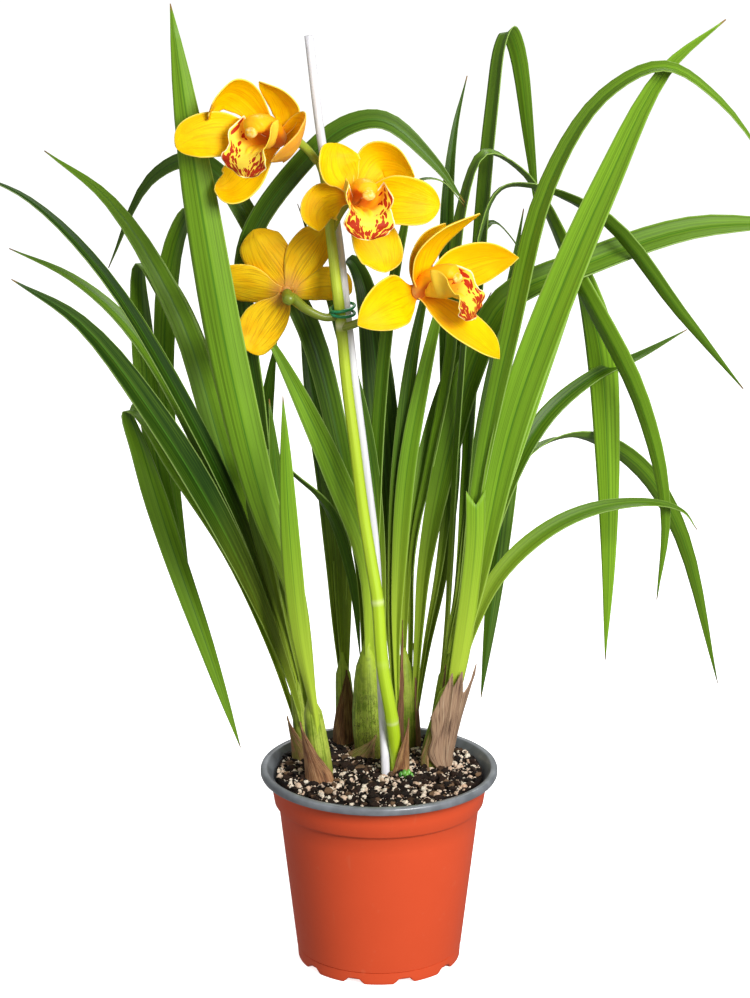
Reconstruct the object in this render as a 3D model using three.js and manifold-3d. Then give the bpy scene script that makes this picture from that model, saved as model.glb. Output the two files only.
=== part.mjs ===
// A potted cymbidium: a plastic nursery pot full of bark mix, seven leafy shoots, and one flower spike that
// is tied to a stake and carries four yellow blooms.
// Millimetres and degrees. +Z is up, the front faces -Y and the origin is the middle of the pot's underside.
import * as THREE from "three";
import { mergeVertices } from "three/addons/utils/BufferGeometryUtils.js";
import Module from "manifold-3d";

const wasm = await Module();
wasm.setup();

// ---- Driving dimensions ----
const pot = {
  height: 128,
  lipRadius: 75,
  lipHeight: 5,
  lipWidth: 4.5,
  collarTopRadius: 69,
  collarBottomRadius: 66.4,
  collarFoot: 104,
  bodyTopRadius: 63.7,
  bodyBottomRadius: 52.6,
  hemHeight: 8,
  baseRadius: 52,
  wall: 2.4,
  floor: 2.6,
  notches: 10,
  notchWidth: 10.5,
  notchHeight: 3,
  drains: 5,
  drainRadius: 5,
  drainRing: 32,
  sides: 32,
};
const mix = { top: 124, mound: 2.5, lump: 0.5, grains: 42, grainSize: [3, 5], gap: 0.3 };
const clearance = 0.4;
const plugDepth = 20;
const leafFoot = 128;
const leafThickness = 0.8;
const bractThickness = 0.9;
const petalThickness = 0.9;
const stake = {
  radius: 2.7,
  path: [[4, -10, 104], [4, -10, 130], [2, -4, 170], [0, 0, 215], [-2, 3, 267], [-8, 4, 320], [-15, 4, 378],
    [-20, 5, 423], [-25, 6, 468], [-35, 7, 528], [-42, 9, 588]],
};
const spike = {
  radii: [4.4, 2.9],
  foot: { radius: 5.6, height: 9, hole: 2.6 },
  rings: [[8, -14, 164], [2, -17, 202], [-1, -13, 241], [-23, -4, 413]],
  path: [[12, -5, 104], [12, -5, 126], [10, -10, 146], [8, -14, 164], [2, -17, 202], [-1, -13, 241],
    [-5, -10, 266], [-10, -7, 298], [-15, -5, 339], [-20, -4, 380], [-24, -4, 424], [-26, -3, 440],
    [-29, -2, 468], [-33, -2, 506], [-36, -2, 515]],
};
const tie = { height: 423, tube: 0.8, gap: 0.4, flatness: 0.7 };

const green = "#5f9427";
const limeGreen = "#a3c634";
const petalYellow = "#f7c815";
const dryBrown = "#a3805c";

// Every leaf stands in one upright plane through its foot. Its arch is a list of [reach, height] along that
// plane, from leafFoot on. Its turn is how far the blade is rolled about its own midrib: one angle, or
// [share of length, angle] stops. A notch is the depth of the V that a cut leaf ends in.
const shoots = [
  {
    name: "shoot_left_front", foot: [-37, -17], lean: [-43, -20, 185], radii: [8, 5], hole: 2.6,
    leaves: [
      { foot: [-38, -18], toward: 172, width: 25, turn: 98, arch: [[4, 179], [13, 243], [34, 307],
          [54, 395], [71, 499], [86, 609]] },
      { foot: [-35, -20], toward: 225, width: 13, turn: 45,
          arch: [[8, 176], [19, 224], [27, 290], [32, 380]] },
      { foot: [-40, -13], toward: 160, width: 14, turn: -45,
          arch: [[6, 180], [16, 240], [24, 310], [29, 368]] },
    ],
  },
  {
    name: "shoot_left_outer", foot: [-46, 22], lean: [-52, 24, 185], radii: [8.5, 6], hole: 2.6,
    leaves: [
      { foot: [-48, 19], toward: 195, width: 13, turn: -52, arch: [[4, 160], [14, 206], [36, 278],
          [73, 362], [122, 448], [165, 495], [198, 513]] },
      { foot: [-47, 18], toward: 205, width: 20, turn: -70, arch: [[4, 155], [15, 192], [50, 277],
          [95, 358], [144, 425], [186, 455]] },
      { foot: [-49, 23], toward: 178, width: 14, turn: -48, arch: [[5, 170], [14, 217], [37, 269],
          [71, 350], [107, 408], [140, 437], [178, 455]] },
      { foot: [-47, 25], toward: 162, width: 18, turn: -55, arch: [[6, 170], [21, 227], [53, 319],
          [80, 405], [126, 477], [170, 507]] },
      { foot: [-45, 26], toward: 152, width: 18, taper: 3,
          turn: [[0, -55], [0.5, -50], [0.62, 0], [0.75, 52], [1, 60]], arch: [[8, 170], [27, 225],
          [58, 314], [82, 386], [103, 422], [118, 436], [119, 392], [110, 307], [85, 216]] },
      { foot: [-48, 24], toward: 160, width: 17, taper: 3, turn: [[0, -50], [0.42, -50], [0.53, 0],
          [0.65, 45], [1, 50]], arch: [[8, 155], [24, 200], [50, 257], [83, 307], [109, 342], [118, 344],
          [110, 318], [90, 256], [67, 192], [44, 125]] },
      { foot: [-45, 26], toward: 138, width: 17,
          turn: [[0, -45], [0.48, -45], [0.58, 0], [0.7, 40], [1, 48]], arch: [[10, 180], [34, 246],
          [58, 336], [78, 428], [95, 470], [114, 444], [126, 374], [122, 302], [104, 202]] },
      { foot: [-43, 25], toward: 358, width: 15, taper: 5, turn: [[0, 45], [0.6, 60], [1, 70]],
          arch: [[-8, 180], [-22, 257], [-32, 355], [-40, 424], [-36, 461], [-12, 499], [22, 531],
          [46, 535], [75, 511], [95, 485]] },
      { foot: [-43, 25], toward: 30, width: 12,
          turn: [[0, 40], [0.5, 30], [0.65, 0], [0.8, -40], [1, -50]], arch: [[-10, 180], [-28, 247],
          [-40, 306], [-31, 329], [-9, 311], [14, 286], [30, 238], [36, 184]] },
      { foot: [-43, 25], toward: 300, width: 15, turn: -20, arch: [[-14, 180], [-37, 246], [-60, 322],
          [-52, 362], [-42, 392]] },
    ],
  },
  {
    name: "shoot_left_back", foot: [-21, 49], lean: [-24, 54, 185], radii: [7.5, 4.5], hole: 2.6,
    leaves: [
      { foot: [-20, 51], toward: 125, width: 16, turn: -33,
          arch: [[9, 192], [13, 245], [22, 296], [40, 352], [53, 402]] },
      { foot: [-21, 48], toward: 100, width: 13, turn: -10,
          arch: [[6, 180], [16, 250], [30, 310], [50, 352]] },
    ],
  },
  {
    name: "shoot_bulb", foot: [-8, 27], lean: [-8, 27, 205], radii: [11.5, 4.5], hole: 2.6,
    leaves: [
      { foot: [-6, 25], toward: 186, width: 17, turn: -78, arch: [[0, 180], [1, 255], [22, 314],
          [39, 354], [60, 397], [70, 413]] },
      { foot: [-8, 30], toward: 160, width: 16, taper: 3, turn: [[0, -60], [0.7, -50], [1, -60]],
          arch: [[1, 190], [4, 253], [17, 325], [38, 401], [68, 452], [98, 495], [116, 503], [144, 488],
          [174, 430]] },
      { foot: [-4, 32], toward: 18, width: 10, turn: [[0, 50], [0.8, 40], [1, 0]], arch: [[1, 254],
          [4, 345], [12, 421], [20, 464], [29, 494], [44, 494], [60, 477]] },
      { foot: [0, 30], toward: 165, width: 9, turn: -60, arch: [[-2, 200], [0, 268], [8, 336], [22, 390],
          [38, 442], [52, 480]] },
    ],
  },
  {
    name: "shoot_middle", foot: [17, 47], lean: [16, 48, 190], radii: [10, 6], hole: 0.4,
    leaves: [
      { foot: [12, 50], toward: 130, width: 23, turn: -35, arch: [[4, 190], [8, 247], [12, 300],
          [22, 376], [35, 425], [48, 436], [64, 408]] },
      { foot: [10, 44], toward: 40, width: 11, turn: 45, arch: [[-2, 200], [0, 249], [4, 310], [13, 376],
          [25, 422], [34, 452]] },
      { foot: [13, 41], toward: 20, width: 12, turn: 60, arch: [[-2, 200], [0, 251], [5, 311], [15, 366],
          [28, 418], [40, 449]] },
      { foot: [16, 50], toward: 42, width: 9, turn: 40, arch: [[0, 200], [4, 258], [18, 318], [37, 364],
          [62, 395], [75, 412]] },
      { foot: [20, 50], toward: 8.5, width: 17, taper: 3, turn: [[0, 70], [0.45, 62], [0.53, 30],
          [0.58, -20], [0.66, -62], [0.8, -78], [1, -80]], arch: [[1, 200], [2, 252], [14, 315],
          [26, 385], [31, 468], [46, 509], [71, 495], [107, 427], [148, 347], [166, 274], [162, 214]] },
      { foot: [22, 42], toward: 11, width: 20, taper: 6, turn: [[0, 60], [1, 42]], arch: [[4, 203],
          [8, 250], [22, 322], [36, 373], [58, 417], [110, 439], [177, 458], [249, 459]] },
      { foot: [22, 52], toward: 60, width: 13, turn: 25, arch: [[18, 180], [38, 226], [50, 290],
          [46, 367], [42, 469], [51, 517], [67, 549]] },
      { foot: [22, 53], toward: 45, width: 8, turn: 30, arch: [[12, 190], [25, 242], [38, 333], [50, 429],
          [69, 457], [91, 442], [108, 416]] },
    ],
  },
  {
    name: "shoot_right_front", foot: [36, 9], lean: [48, 12, 185], radii: [9.5, 6.5], hole: 2.6,
    leaves: [
      { foot: [40, 8], toward: 340, width: 12.5, base: 0.7, turn: -60, notch: 9,
          arch: [[7, 170], [13, 206], [18, 245], [21, 279], [21, 304]] },
      { foot: [38, 14], toward: 348, width: 14.5, turn: [[0, 85], [0.6, 65], [0.85, 35], [1, 10]],
          arch: [[6, 180], [15, 234], [26, 321], [43, 409], [65, 500], [97, 554], [133, 573], [166, 554],
          [205, 505]] },
      { foot: [43, 8], toward: 354, width: 23, turn: [[0, 85], [1, 75]], arch: [[7, 190], [18, 244],
          [36, 339], [57, 407], [94, 501], [127, 569], [162, 600]] },
      { foot: [42, 13], toward: 20, width: 12, turn: [[0, 50], [1, 32]], arch: [[6, 165], [16, 207],
          [34, 244], [64, 270], [100, 283], [142, 283], [163, 275], [173, 262]] },
    ],
  },
  {
    name: "shoot_right_back", foot: [40, 34], lean: [46, 37, 190], radii: [8.5, 6], hole: 0.4,
    leaves: [
      { foot: [42, 38], toward: 60, width: 14, taper: 3,
          turn: [[0, -15], [0.6, -22], [0.8, -28], [1, -30]], arch: [[1, 181], [17, 228], [27, 292],
          [36, 388], [48, 480], [60, 542], [68, 570], [77, 578], [90, 564], [109, 502], [125, 440]] },
      { foot: [34, 34], toward: 8, width: 15, taper: 3, turn: [[0, 20], [0.5, 0], [0.68, -20], [0.8, -50],
          [0.9, -70], [1, -75]], arch: [[8, 190], [12, 253], [18, 370], [28, 461], [41, 490], [60, 491],
          [107, 469], [156, 409], [198, 358]] },
      { foot: [43, 34], toward: 32, width: 13, turn: [[0, 50], [1, 36]], arch: [[12, 190], [25, 243],
          [48, 302], [76, 338], [113, 359], [146, 367], [186, 380]] },
      { foot: [44, 36], toward: 40, width: 14, turn: [[0, 0], [0.35, -5], [0.5, -30], [0.62, -50],
          [1, -52]], arch: [[12, 180], [32, 246], [56, 302], [87, 316], [126, 311], [174, 279],
          [211, 226], [250, 113]] },
      { foot: [41, 38], toward: 60, width: 18,
          turn: [[0, 30], [0.5, 20], [0.56, 0], [0.65, -28], [1, -30]], arch: [[18, 180], [46, 240],
          [75, 300], [88, 323], [81, 272], [68, 208], [52, 143]] },
      { foot: [38, 36], toward: 48, width: 11, turn: 40, arch: [[10, 180], [26, 247], [44, 336],
          [63, 402], [80, 467]] },
      { foot: [43, 33], toward: 34, width: 22, turn: [[0, 50], [0.46, 48], [0.56, 0], [0.66, -50],
          [1, -56]], arch: [[12, 190], [26, 249], [56, 337], [85, 411], [98, 433], [109, 411], [120, 374],
          [127, 306], [130, 231], [129, 162]] },
    ],
  },
];

// Dry bracts wrap a stem: facing is the compass angle of their middle at foot and tip, span is how far round
// they reach at the foot, and flare is how far the tip stands off.
const spikeFoot = { foot: spike.path[0], lean: spike.path[3], radii: [spike.foot.radius] };
const bracts = [
  { name: "bract_left_front", stem: shoots[0], facing: [272, 215], span: 185, height: 46, flare: 2 },
  { name: "bract_left_outer", stem: shoots[1], facing: [270, 215], span: 150, height: 34, flare: 2 },
  { name: "bract_left_back", stem: shoots[2], facing: [265, 285], span: 190, height: 54, flare: 1 },
  { name: "bract_bulb", stem: shoots[3], facing: [215, 280], span: 150, height: 22, flare: 0.5 },
  { name: "bract_right_front", stem: shoots[5], facing: [312, 296], span: 140, height: 74, flare: 5 },
  { name: "bract_right_inner", stem: shoots[5], facing: [72, 80], span: 86, height: 40, flare: 4 },
  { name: "bract_spike", stem: spikeFoot, facing: [300, 350], span: 160, height: 46, flare: 4 },
];

// Each bloom has its heart, the way it faces, and the tilt of its top about that. A tepal is a spine of
// [right, back, up] steps from the heart and a width.
const blooms = [
  {
    name: "bloom_top", heart: [-60, -13, 530], facing: [-0.5, -0.82, 0.24], tilt: 0,
    stalk: [[-37, -2, 514], [-43, -4, 522], [-50, -8, 528]],
    tepals: [
      { width: 27, spine: [[-3, -1, 1], [-20, -6, 2], [-37, -10, 4], [-50, -12, 2], [-60, -13, -3]] },
      { width: 24, spine: [[-2, 1, 3], [-10, 6, 12], [-20, 6, 23], [-29, 1, 28], [-37, -8, 23],
          [-41, -12, 13]] },
      { width: 21, spine: [[2, 1, 2], [6, 4, 8], [6, 6, 16], [0, 4, 25], [-11, 0, 34]] },
      { width: 33, spine: [[2, 1, 1], [8, 0, 2], [13, -8, 1], [10, -20, -4], [-4, -28, -9]] },
      { width: 27, spine: [[-1, 1, -3], [-10, 2, -12], [-21, -1, -24], [-29, -3, -30], [-38, -5, -30]] },
    ],
  },
  {
    name: "bloom_right_of_spike", heart: [-16, -18, 495], facing: [0.33, -0.92, 0.22], tilt: -8,
    stalk: [[-29, -2, 472], [-24, -1, 482], [-18, -4, 492]],
    tepals: [
      { width: 27, spine: [[0, 1, 3], [-4, 2, 11], [-8, 1, 19], [-9, 2, 26], [-9, 6, 32]] },
      { width: 25, spine: [[2, 1, 2], [7, 7, 12], [15, 10, 21], [26, 5, 21], [37, -5, 14]] },
      { width: 29, spine: [[3, 1, 0], [14, -2, 0], [27, -6, 0], [41, -6, -2], [52, -2, -4]] },
      { width: 29, spine: [[1, 1, -3], [6, 2, -14], [13, 2, -27], [18, 0, -37], [20, -4, -44]] },
      { width: 25, spine: [[-3, 1, 0], [-9, 3, -1], [-16, 4, -4], [-21, 1, -10], [-20, -5, -19]] },
    ],
  },
  {
    name: "bloom_left_of_spike", heart: [-56, 2, 433], facing: [-0.15, 0.94, 0.3], tilt: 0,
    stalk: [[-25, -4, 420], [-33, -7, 420], [-44, -7, 425], [-53, -2, 431]],
    tepals: [
      { width: 29, spine: [[0, 1, 3], [-4, 4, 10], [-12, 6, 21], [-18, 9, 31], [-20, 15, 36]] },
      { width: 26, spine: [[2, 1, 2], [6, 4, 12], [13, 6, 23], [20, 6, 33], [24, 4, 41]] },
      { width: 26, spine: [[-3, 1, 0], [-12, 4, 1], [-24, 6, 3], [-35, 8, 4], [-45, 12, 4]] },
      { width: 29, spine: [[-1, 1, -2], [-6, 4, -10], [-14, 5, -21], [-20, 3, -30], [-24, -1, -36]] },
      { width: 25, spine: [[3, 2, 0], [11, 10, 0], [21, 15, 1], [31, 17, 0], [39, 16, -3]] },
    ],
  },
  {
    name: "bloom_right", heart: [23, -14, 437], facing: [0.8, -0.48, 0.38], tilt: 0,
    stalk: [[-22, -5, 413], [-13, -9, 417], [0, -13, 424], [15, -14, 432]],
    tepals: [
      { width: 34, spine: [[1, 0, 3], [0, -1, 13], [4, -2, 27], [17, -4, 40], [37, -6, 49]] },
      { width: 27, spine: [[3, 1, 2], [13, 6, 7], [27, 10, 13], [44, 10, 18], [61, 6, 20]] },
      { width: 31, spine: [[2, 0, -2], [11, -2, -9], [23, -6, -18], [37, -11, -28], [49, -17, -37]] },
      { width: 31, spine: [[-2, 0, 0], [-7, -6, -1], [-14, -16, -2], [-24, -26, -6], [-36, -32, -13]] },
      { width: 20, spine: [[-1, 2, 2], [-2, 6, 11], [1, 10, 22], [8, 11, 32], [17, 11, 40]] },
    ],
  },
];
const column = { back: 3.6, length: 30, rise: 5, radius: 3.6, capRadius: 4.4 };
const lip = { start: 6, below: 4.1, length: 34, drop: 26, width: 32 };
const ovary = { gap: 0.5, length: 5, radii: [2.1, 2.6] };

// ---- Geometry helpers ----
const radians = THREE.MathUtils.degToRad;
const vector = (x, y, z) => new THREE.Vector3(x, y, z);
const mixNumbers = THREE.MathUtils.lerp;
const smooth = (x) => THREE.MathUtils.smoothstep(x, 0, 1);
const pathOf = (points) => new THREE.CatmullRomCurve3(points.map((point) => vector(...point)));

// The value at x of a list of [position, value] stops, or the one value itself.
function alongStops(stops, x) {
  if (typeof stops === "number") {
    return stops;
  }
  const k = Math.max(1, stops.findIndex(([position]) => position >= x));
  const [[start, from], [end, to]] = [stops[k - 1], stops[k]];
  return mixNumbers(from, to, (x - start) / (end - start));
}

function seededRandom(seed) {
  let state = seed;
  return () => {
    state = (state * 1664525 + 1013904223) % 4294967296;
    return state / 4294967296;
  };
}

function solidOf(geometry) {
  const plain = geometry.index ? geometry.toNonIndexed() : geometry.clone();
  plain.deleteAttribute("normal");
  plain.deleteAttribute("uv");
  const merged = mergeVertices(plain, 1e-3);
  return new wasm.Manifold(
    new wasm.Mesh({
      numProp: 3,
      vertProperties: new Float32Array(merged.attributes.position.array),
      triVerts: new Uint32Array(merged.index.array),
    }),
  );
}

function geometryOf(solid) {
  const mesh = solid.getMesh();
  const geometry = new THREE.BufferGeometry();
  geometry.setAttribute("position", new THREE.BufferAttribute(mesh.vertProperties, 3));
  geometry.setIndex(new THREE.BufferAttribute(mesh.triVerts, 1));
  geometry.computeVertexNormals();
  return geometry;
}

// Joins solids and keeps the largest body, so that a loose scrap of a cut is dropped.
function fuse(solids) {
  const joined = solids.reduce((sum, next) => sum.add(next));
  const bodies = joined.decompose();
  return bodies.reduce((best, next) => (next.volume() > best.volume() ? next : best));
}

function cutAway(solid, cutters) {
  return fuse([cutters.reduce((rest, cutter) => rest.subtract(cutter), solid)]);
}

function named(name, solid, color, roughness = 0.6) {
  const mesh = new THREE.Mesh(geometryOf(solid), new THREE.MeshStandardMaterial({ color, roughness }));
  mesh.name = name;
  return mesh;
}

// A thin sheet with both faces split alike: place(s, t) gives its middle surface, with s from -1 to 1 across
// it and t from 0 to 1 along it.
function sheet(place, rows, columns, thickness) {
  const positions = [];
  const index = [];
  const step = 0.002;
  const across = columns + 1;
  const layer = (rows + 1) * across;
  for (const face of [1, -1]) {
    for (let i = 0; i <= rows; i += 1) {
      for (let j = 0; j <= columns; j += 1) {
        const t = i / rows;
        const s = (2 * j) / columns - 1;
        const sideways = place(Math.min(s + step, 1), t).sub(place(Math.max(s - step, -1), t));
        const onward = place(s, Math.min(t + step, 1)).sub(place(s, Math.max(t - step, 0)));
        const normal = sideways.cross(onward).normalize();
        const point = place(s, t).addScaledVector(normal, (face * thickness) / 2);
        positions.push(point.x, point.y, point.z);
      }
    }
  }
  const quad = (a, b, c, d) => index.push(a, b, c, a, c, d);
  for (let i = 0; i < rows; i += 1) {
    for (let j = 0; j < columns; j += 1) {
      const a = i * across + j;
      quad(a, a + 1, a + 1 + across, a + across);
      index.push(layer + a, layer + a + 1 + across, layer + a + 1);
      index.push(layer + a, layer + a + across, layer + a + 1 + across);
    }
  }
  for (let j = 0; j < columns; j += 1) {
    const end = rows * across + j;
    quad(layer + j, layer + j + 1, j + 1, j);
    quad(end, end + 1, layer + end + 1, layer + end);
  }
  for (let i = 0; i < rows; i += 1) {
    const left = i * across;
    const right = left + columns;
    quad(left, left + across, layer + left + across, layer + left);
    quad(right, layer + right, layer + right + across, right + across);
  }
  const geometry = new THREE.BufferGeometry();
  geometry.setAttribute("position", new THREE.Float32BufferAttribute(positions, 3));
  geometry.setIndex(index);
  return solidOf(geometry);
}

// A round rod along a path, with its radius going evenly from one value to the other.
function rod(path, radii, steps, sides) {
  const curve = pathOf(path);
  const positions = [];
  const index = [];
  for (let i = 0; i <= steps; i += 1) {
    const centre = curve.getPointAt(i / steps);
    const ahead = curve.getTangentAt(i / steps);
    const first = vector(0, 1, 0).cross(ahead).normalize();
    const second = ahead.clone().cross(first);
    const radius = mixNumbers(radii[0], radii[1], i / steps);
    for (let j = 0; j < sides; j += 1) {
      const angle = (2 * Math.PI * j) / sides;
      const point = centre.clone();
      point.addScaledVector(first, radius * Math.cos(angle)).addScaledVector(second, radius * Math.sin(angle));
      positions.push(point.x, point.y, point.z);
    }
  }
  for (let i = 0; i < steps; i += 1) {
    for (let j = 0; j < sides; j += 1) {
      const a = i * sides + j;
      const b = i * sides + ((j + 1) % sides);
      index.push(a, b, b + sides, a, b + sides, a + sides);
    }
  }
  for (let j = 1; j < sides - 1; j += 1) {
    const last = steps * sides;
    index.push(0, j + 1, j, last, last + j, last + j + 1);
  }
  const geometry = new THREE.BufferGeometry();
  geometry.setAttribute("position", new THREE.Float32BufferAttribute(positions, 3));
  geometry.setIndex(index);
  return solidOf(geometry);
}

function turned(profile, segments) {
  const points = profile.map(([radius, height]) => new THREE.Vector2(radius, height));
  return solidOf(new THREE.LatheGeometry(points, segments).rotateX(Math.PI / 2));
}

function uprightCylinder(radius, bottom, top, x, y, sides) {
  const geometry = new THREE.CylinderGeometry(radius, radius, top - bottom, sides).rotateX(Math.PI / 2);
  return solidOf(geometry.translate(x, y, (top + bottom) / 2));
}

// ---- Pot ----
function makePot() {
  const inner = pot.lipRadius - pot.lipWidth;
  const outline = [
    [0, 0],
    [pot.baseRadius - 1, 0],
    [pot.baseRadius, 1],
    [pot.bodyBottomRadius - 0.3, pot.hemHeight],
    [pot.bodyBottomRadius, pot.hemHeight + 0.3],
    [pot.bodyTopRadius, pot.collarFoot],
    [pot.collarBottomRadius, pot.collarFoot + 1.6],
    [pot.collarTopRadius, pot.height - pot.lipHeight],
    [pot.lipRadius - 1.2, pot.height - pot.lipHeight],
    [pot.lipRadius, pot.height - pot.lipHeight + 1.4],
    [pot.lipRadius, pot.height - 1.4],
    [pot.lipRadius - 1.4, pot.height],
    [inner + 0.8, pot.height],
    [inner, pot.height - 1],
    [pot.collarTopRadius - pot.wall, pot.height - pot.lipHeight - 1],
    [pot.collarBottomRadius - pot.wall, pot.collarFoot + 1.6],
    [pot.bodyTopRadius - pot.wall, pot.collarFoot - 2],
    [pot.bodyBottomRadius - pot.wall, pot.floor],
    [0, pot.floor],
  ];
  const cutters = [];
  for (let i = 0; i < pot.notches; i += 1) {
    const notch = new THREE.BoxGeometry(12, pot.notchWidth, 2 * pot.notchHeight);
    notch.translate(pot.baseRadius, 0, 0).rotateZ(radians((360 / pot.notches) * i));
    cutters.push(solidOf(notch));
  }
  for (let i = 0; i < pot.drains; i += 1) {
    const angle = (2 * Math.PI * i) / pot.drains;
    const x = pot.drainRing * Math.cos(angle);
    const y = pot.drainRing * Math.sin(angle);
    cutters.push(uprightCylinder(pot.drainRadius, -1, pot.floor + 1, x, y, 12));
  }
  return cutAway(turned(outline, pot.sides), cutters);
}

// ---- Potting mix ----
function mixHeight(x, y) {
  const away = Math.hypot(x, y) / pot.collarTopRadius;
  const lumps = Math.sin(x * 0.31 + 1) * Math.cos(y * 0.27) + 0.7 * Math.sin(x * 0.53 - y * 0.47);
  return mix.top + mix.mound * (1 - away * away) + mix.lump * lumps;
}

function makeMix() {
  const shrink = pot.wall + mix.gap;
  const outline = [
    [0, pot.floor + mix.gap],
    [pot.bodyBottomRadius - shrink, pot.floor + mix.gap],
    [pot.bodyTopRadius - shrink, pot.collarFoot - 2],
    [pot.collarBottomRadius - shrink, pot.collarFoot + 1.6],
    [pot.collarTopRadius - shrink - 0.5, mix.top - 4],
    [pot.collarTopRadius - shrink - 0.6, mix.top - 2],
    [55, mix.top],
    [43, mix.top],
    [31, mix.top],
    [17, mix.top],
    [0, mix.top],
  ];
  const points = outline.map(([radius, height]) => new THREE.Vector2(radius, height));
  const body = new THREE.LatheGeometry(points, pot.sides).rotateX(Math.PI / 2);
  const position = body.attributes.position;
  for (let i = 0; i < position.count; i += 1) {
    if (position.getZ(i) > mix.top - 1) {
      position.setZ(i, mixHeight(position.getX(i), position.getY(i)));
    }
  }
  const random = seededRandom(7);
  const solids = [solidOf(body)];
  for (let i = 0; i < mix.grains; i += 1) {
    const away = 61 * Math.sqrt((i + 0.5) / mix.grains);
    const angle = radians(137.5 * i);
    const x = away * Math.cos(angle);
    const y = away * Math.sin(angle);
    const size = mixNumbers(mix.grainSize[0], mix.grainSize[1], random());
    const grain = new THREE.OctahedronGeometry(size);
    grain.scale(1, 0.6 + 0.4 * random(), 0.5 + 0.3 * random());
    grain.rotateX(random()).rotateZ(6 * random()).translate(x, y, mixHeight(x, y));
    solids.push(solidOf(grain));
  }
  const holes = shoots.map(({ foot, radii, hole }) => plantHole(foot, radii[0] + hole));
  holes.push(plantHole(spike.path[0], spike.foot.radius + spike.foot.hole));
  holes.push(plantHole(stake.path[0], stake.radius + 3 * clearance));
  return cutAway(fuse(solids), holes);
}

// The hole's sides touch the given radius, so that a round stem clears its flats too.
function plantHole([x, y], radius) {
  const sides = 12;
  const corner = radius / Math.cos(Math.PI / sides);
  return uprightCylinder(corner, mix.top - plugDepth - clearance, mix.top + 10, x, y, sides);
}

// ---- Leafy shoots ----
function leafBlade({ foot, toward, arch, width, turn, base = 0.32, taper = 2.2, notch = 0 }) {
  const heading = vector(Math.cos(radians(toward)), Math.sin(radians(toward)), 0);
  const level = vector(-heading.y, heading.x, 0);
  const stations = [[0, leafFoot], ...arch];
  const curve = new THREE.CatmullRomCurve3(
    stations.map(([reach, height]) => vector(foot[0], foot[1], height).addScaledVector(heading, reach)),
  );
  const lengths = curve.getLengths(60);
  const shareAt = (t) => {
    const k = Math.min(Math.floor(t * 60), 59);
    return mixNumbers(lengths[k], lengths[k + 1], t * 60 - k) / lengths[60];
  };
  const place = (s, t) => {
    const share = shareAt(t);
    const ahead = curve.getTangent(t);
    const roll = radians(alongStops(turn, share));
    const side = level.clone().multiplyScalar(Math.cos(roll));
    side.addScaledVector(ahead.clone().cross(level), Math.sin(roll));
    const face = ahead.clone().cross(side);
    const narrowing = notch ? 1 : 1 - Math.max(0, (share - 0.5) / 0.5) ** taper;
    const half = Math.max(0.6, (width / 2) * mixNumbers(base, 1, smooth(share / 0.55)) * narrowing);
    const fold = radians(mixNumbers(62, 16, smooth(share / 0.45)));
    const point = curve.getPoint(t);
    point.addScaledVector(side, s * half * Math.cos(fold));
    point.addScaledVector(face, (Math.abs(s) - 0.5) * half * Math.sin(fold));
    return point.addScaledVector(ahead, notch * (Math.abs(s) - 0.5) * smooth((share - 0.9) / 0.1));
  };
  return sheet(place, arch.length, 2, leafThickness);
}

function makeShoot({ foot, lean, radii, leaves }) {
  const bottom = mix.top - plugDepth;
  const plug = rod([[...foot, bottom], [...foot, mix.top + 6]], [radii[0], radii[0]], 1, 10);
  const stem = rod([[...foot, mix.top - 4], [...foot, mix.top + 8], lean], radii, 4, 10);
  return fuse([plug, stem, ...leaves.map(leafBlade)]);
}

// A bract's middle surface follows its stem's lean, just clear of it, and narrows to a point.
function makeBract({ stem: { foot, lean, radii }, facing, span, height, flare }) {
  const bottom = mix.top - 4;
  const place = (s, t) => {
    const z = bottom + t * height;
    const up = Math.max(0, (z - mix.top - 8) / (lean[2] - mix.top - 8));
    const reach = radii[0] + 2 * clearance + bractThickness + flare * t * t;
    const half = (span / 2) * Math.max(0.08, 1 - t ** 1.6);
    const angle = radians(mixNumbers(facing[0], facing[1], t) + s * half);
    const x = mixNumbers(foot[0], lean[0], up) + reach * Math.cos(angle);
    const y = mixNumbers(foot[1], lean[1], up) + reach * Math.sin(angle);
    return vector(x, y, z);
  };
  return sheet(place, 4, 8, bractThickness);
}

// ---- Flower spike, stake and tie ----
function makeSpike() {
  const [x, y] = spike.path[0];
  const pieces = [rod(spike.path, spike.radii, 16, 7)];
  const foot = new THREE.CylinderGeometry(spike.radii[0], spike.foot.radius, spike.foot.height + 6, 7, 1);
  pieces.push(solidOf(foot.rotateX(Math.PI / 2).translate(x, y, mix.top + spike.foot.height / 2 - 3)));
  for (const ring of spike.rings) {
    const node = new THREE.SphereGeometry(spike.radii[0] + 0.8, 7, 3).scale(1, 0.5, 1);
    pieces.push(solidOf(node.rotateX(Math.PI / 2).translate(...ring)));
  }
  for (const { stalk, heart, facing } of blooms) {
    const behind = (gap) => vector(...heart).addScaledVector(vector(...facing).normalize(), -gap).toArray();
    const end = column.back + ovary.gap;
    pieces.push(rod([...stalk, behind(end + ovary.length), behind(end)], ovary.radii, 6, 5));
  }
  return fuse(pieces);
}

function makeStake() {
  return rod(stake.path, [stake.radius, stake.radius], 12, 8);
}

// A loop of soft plastic round the spike and the stake.
function makeTie() {
  const spikeCentre = vector(...spike.path[10]).setZ(tie.height);
  const stakeCentre = vector(...stake.path[7]).setZ(tie.height);
  const across = stakeCentre.clone().sub(spikeCentre);
  const reach = (across.length() + spike.radii[0] + stake.radius) / 2 + tie.tube + tie.gap;
  const loop = new THREE.TorusGeometry(reach, tie.tube, 5, 16);
  loop.scale(1, tie.flatness, 1).rotateZ(Math.atan2(across.y, across.x));
  const middle = spikeCentre.lerp(stakeCentre, 0.5);
  middle.addScaledVector(across.normalize(), (stake.radius - spike.radii[0]) / 2);
  return solidOf(loop.translate(middle.x, middle.y, middle.z));
}

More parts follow.
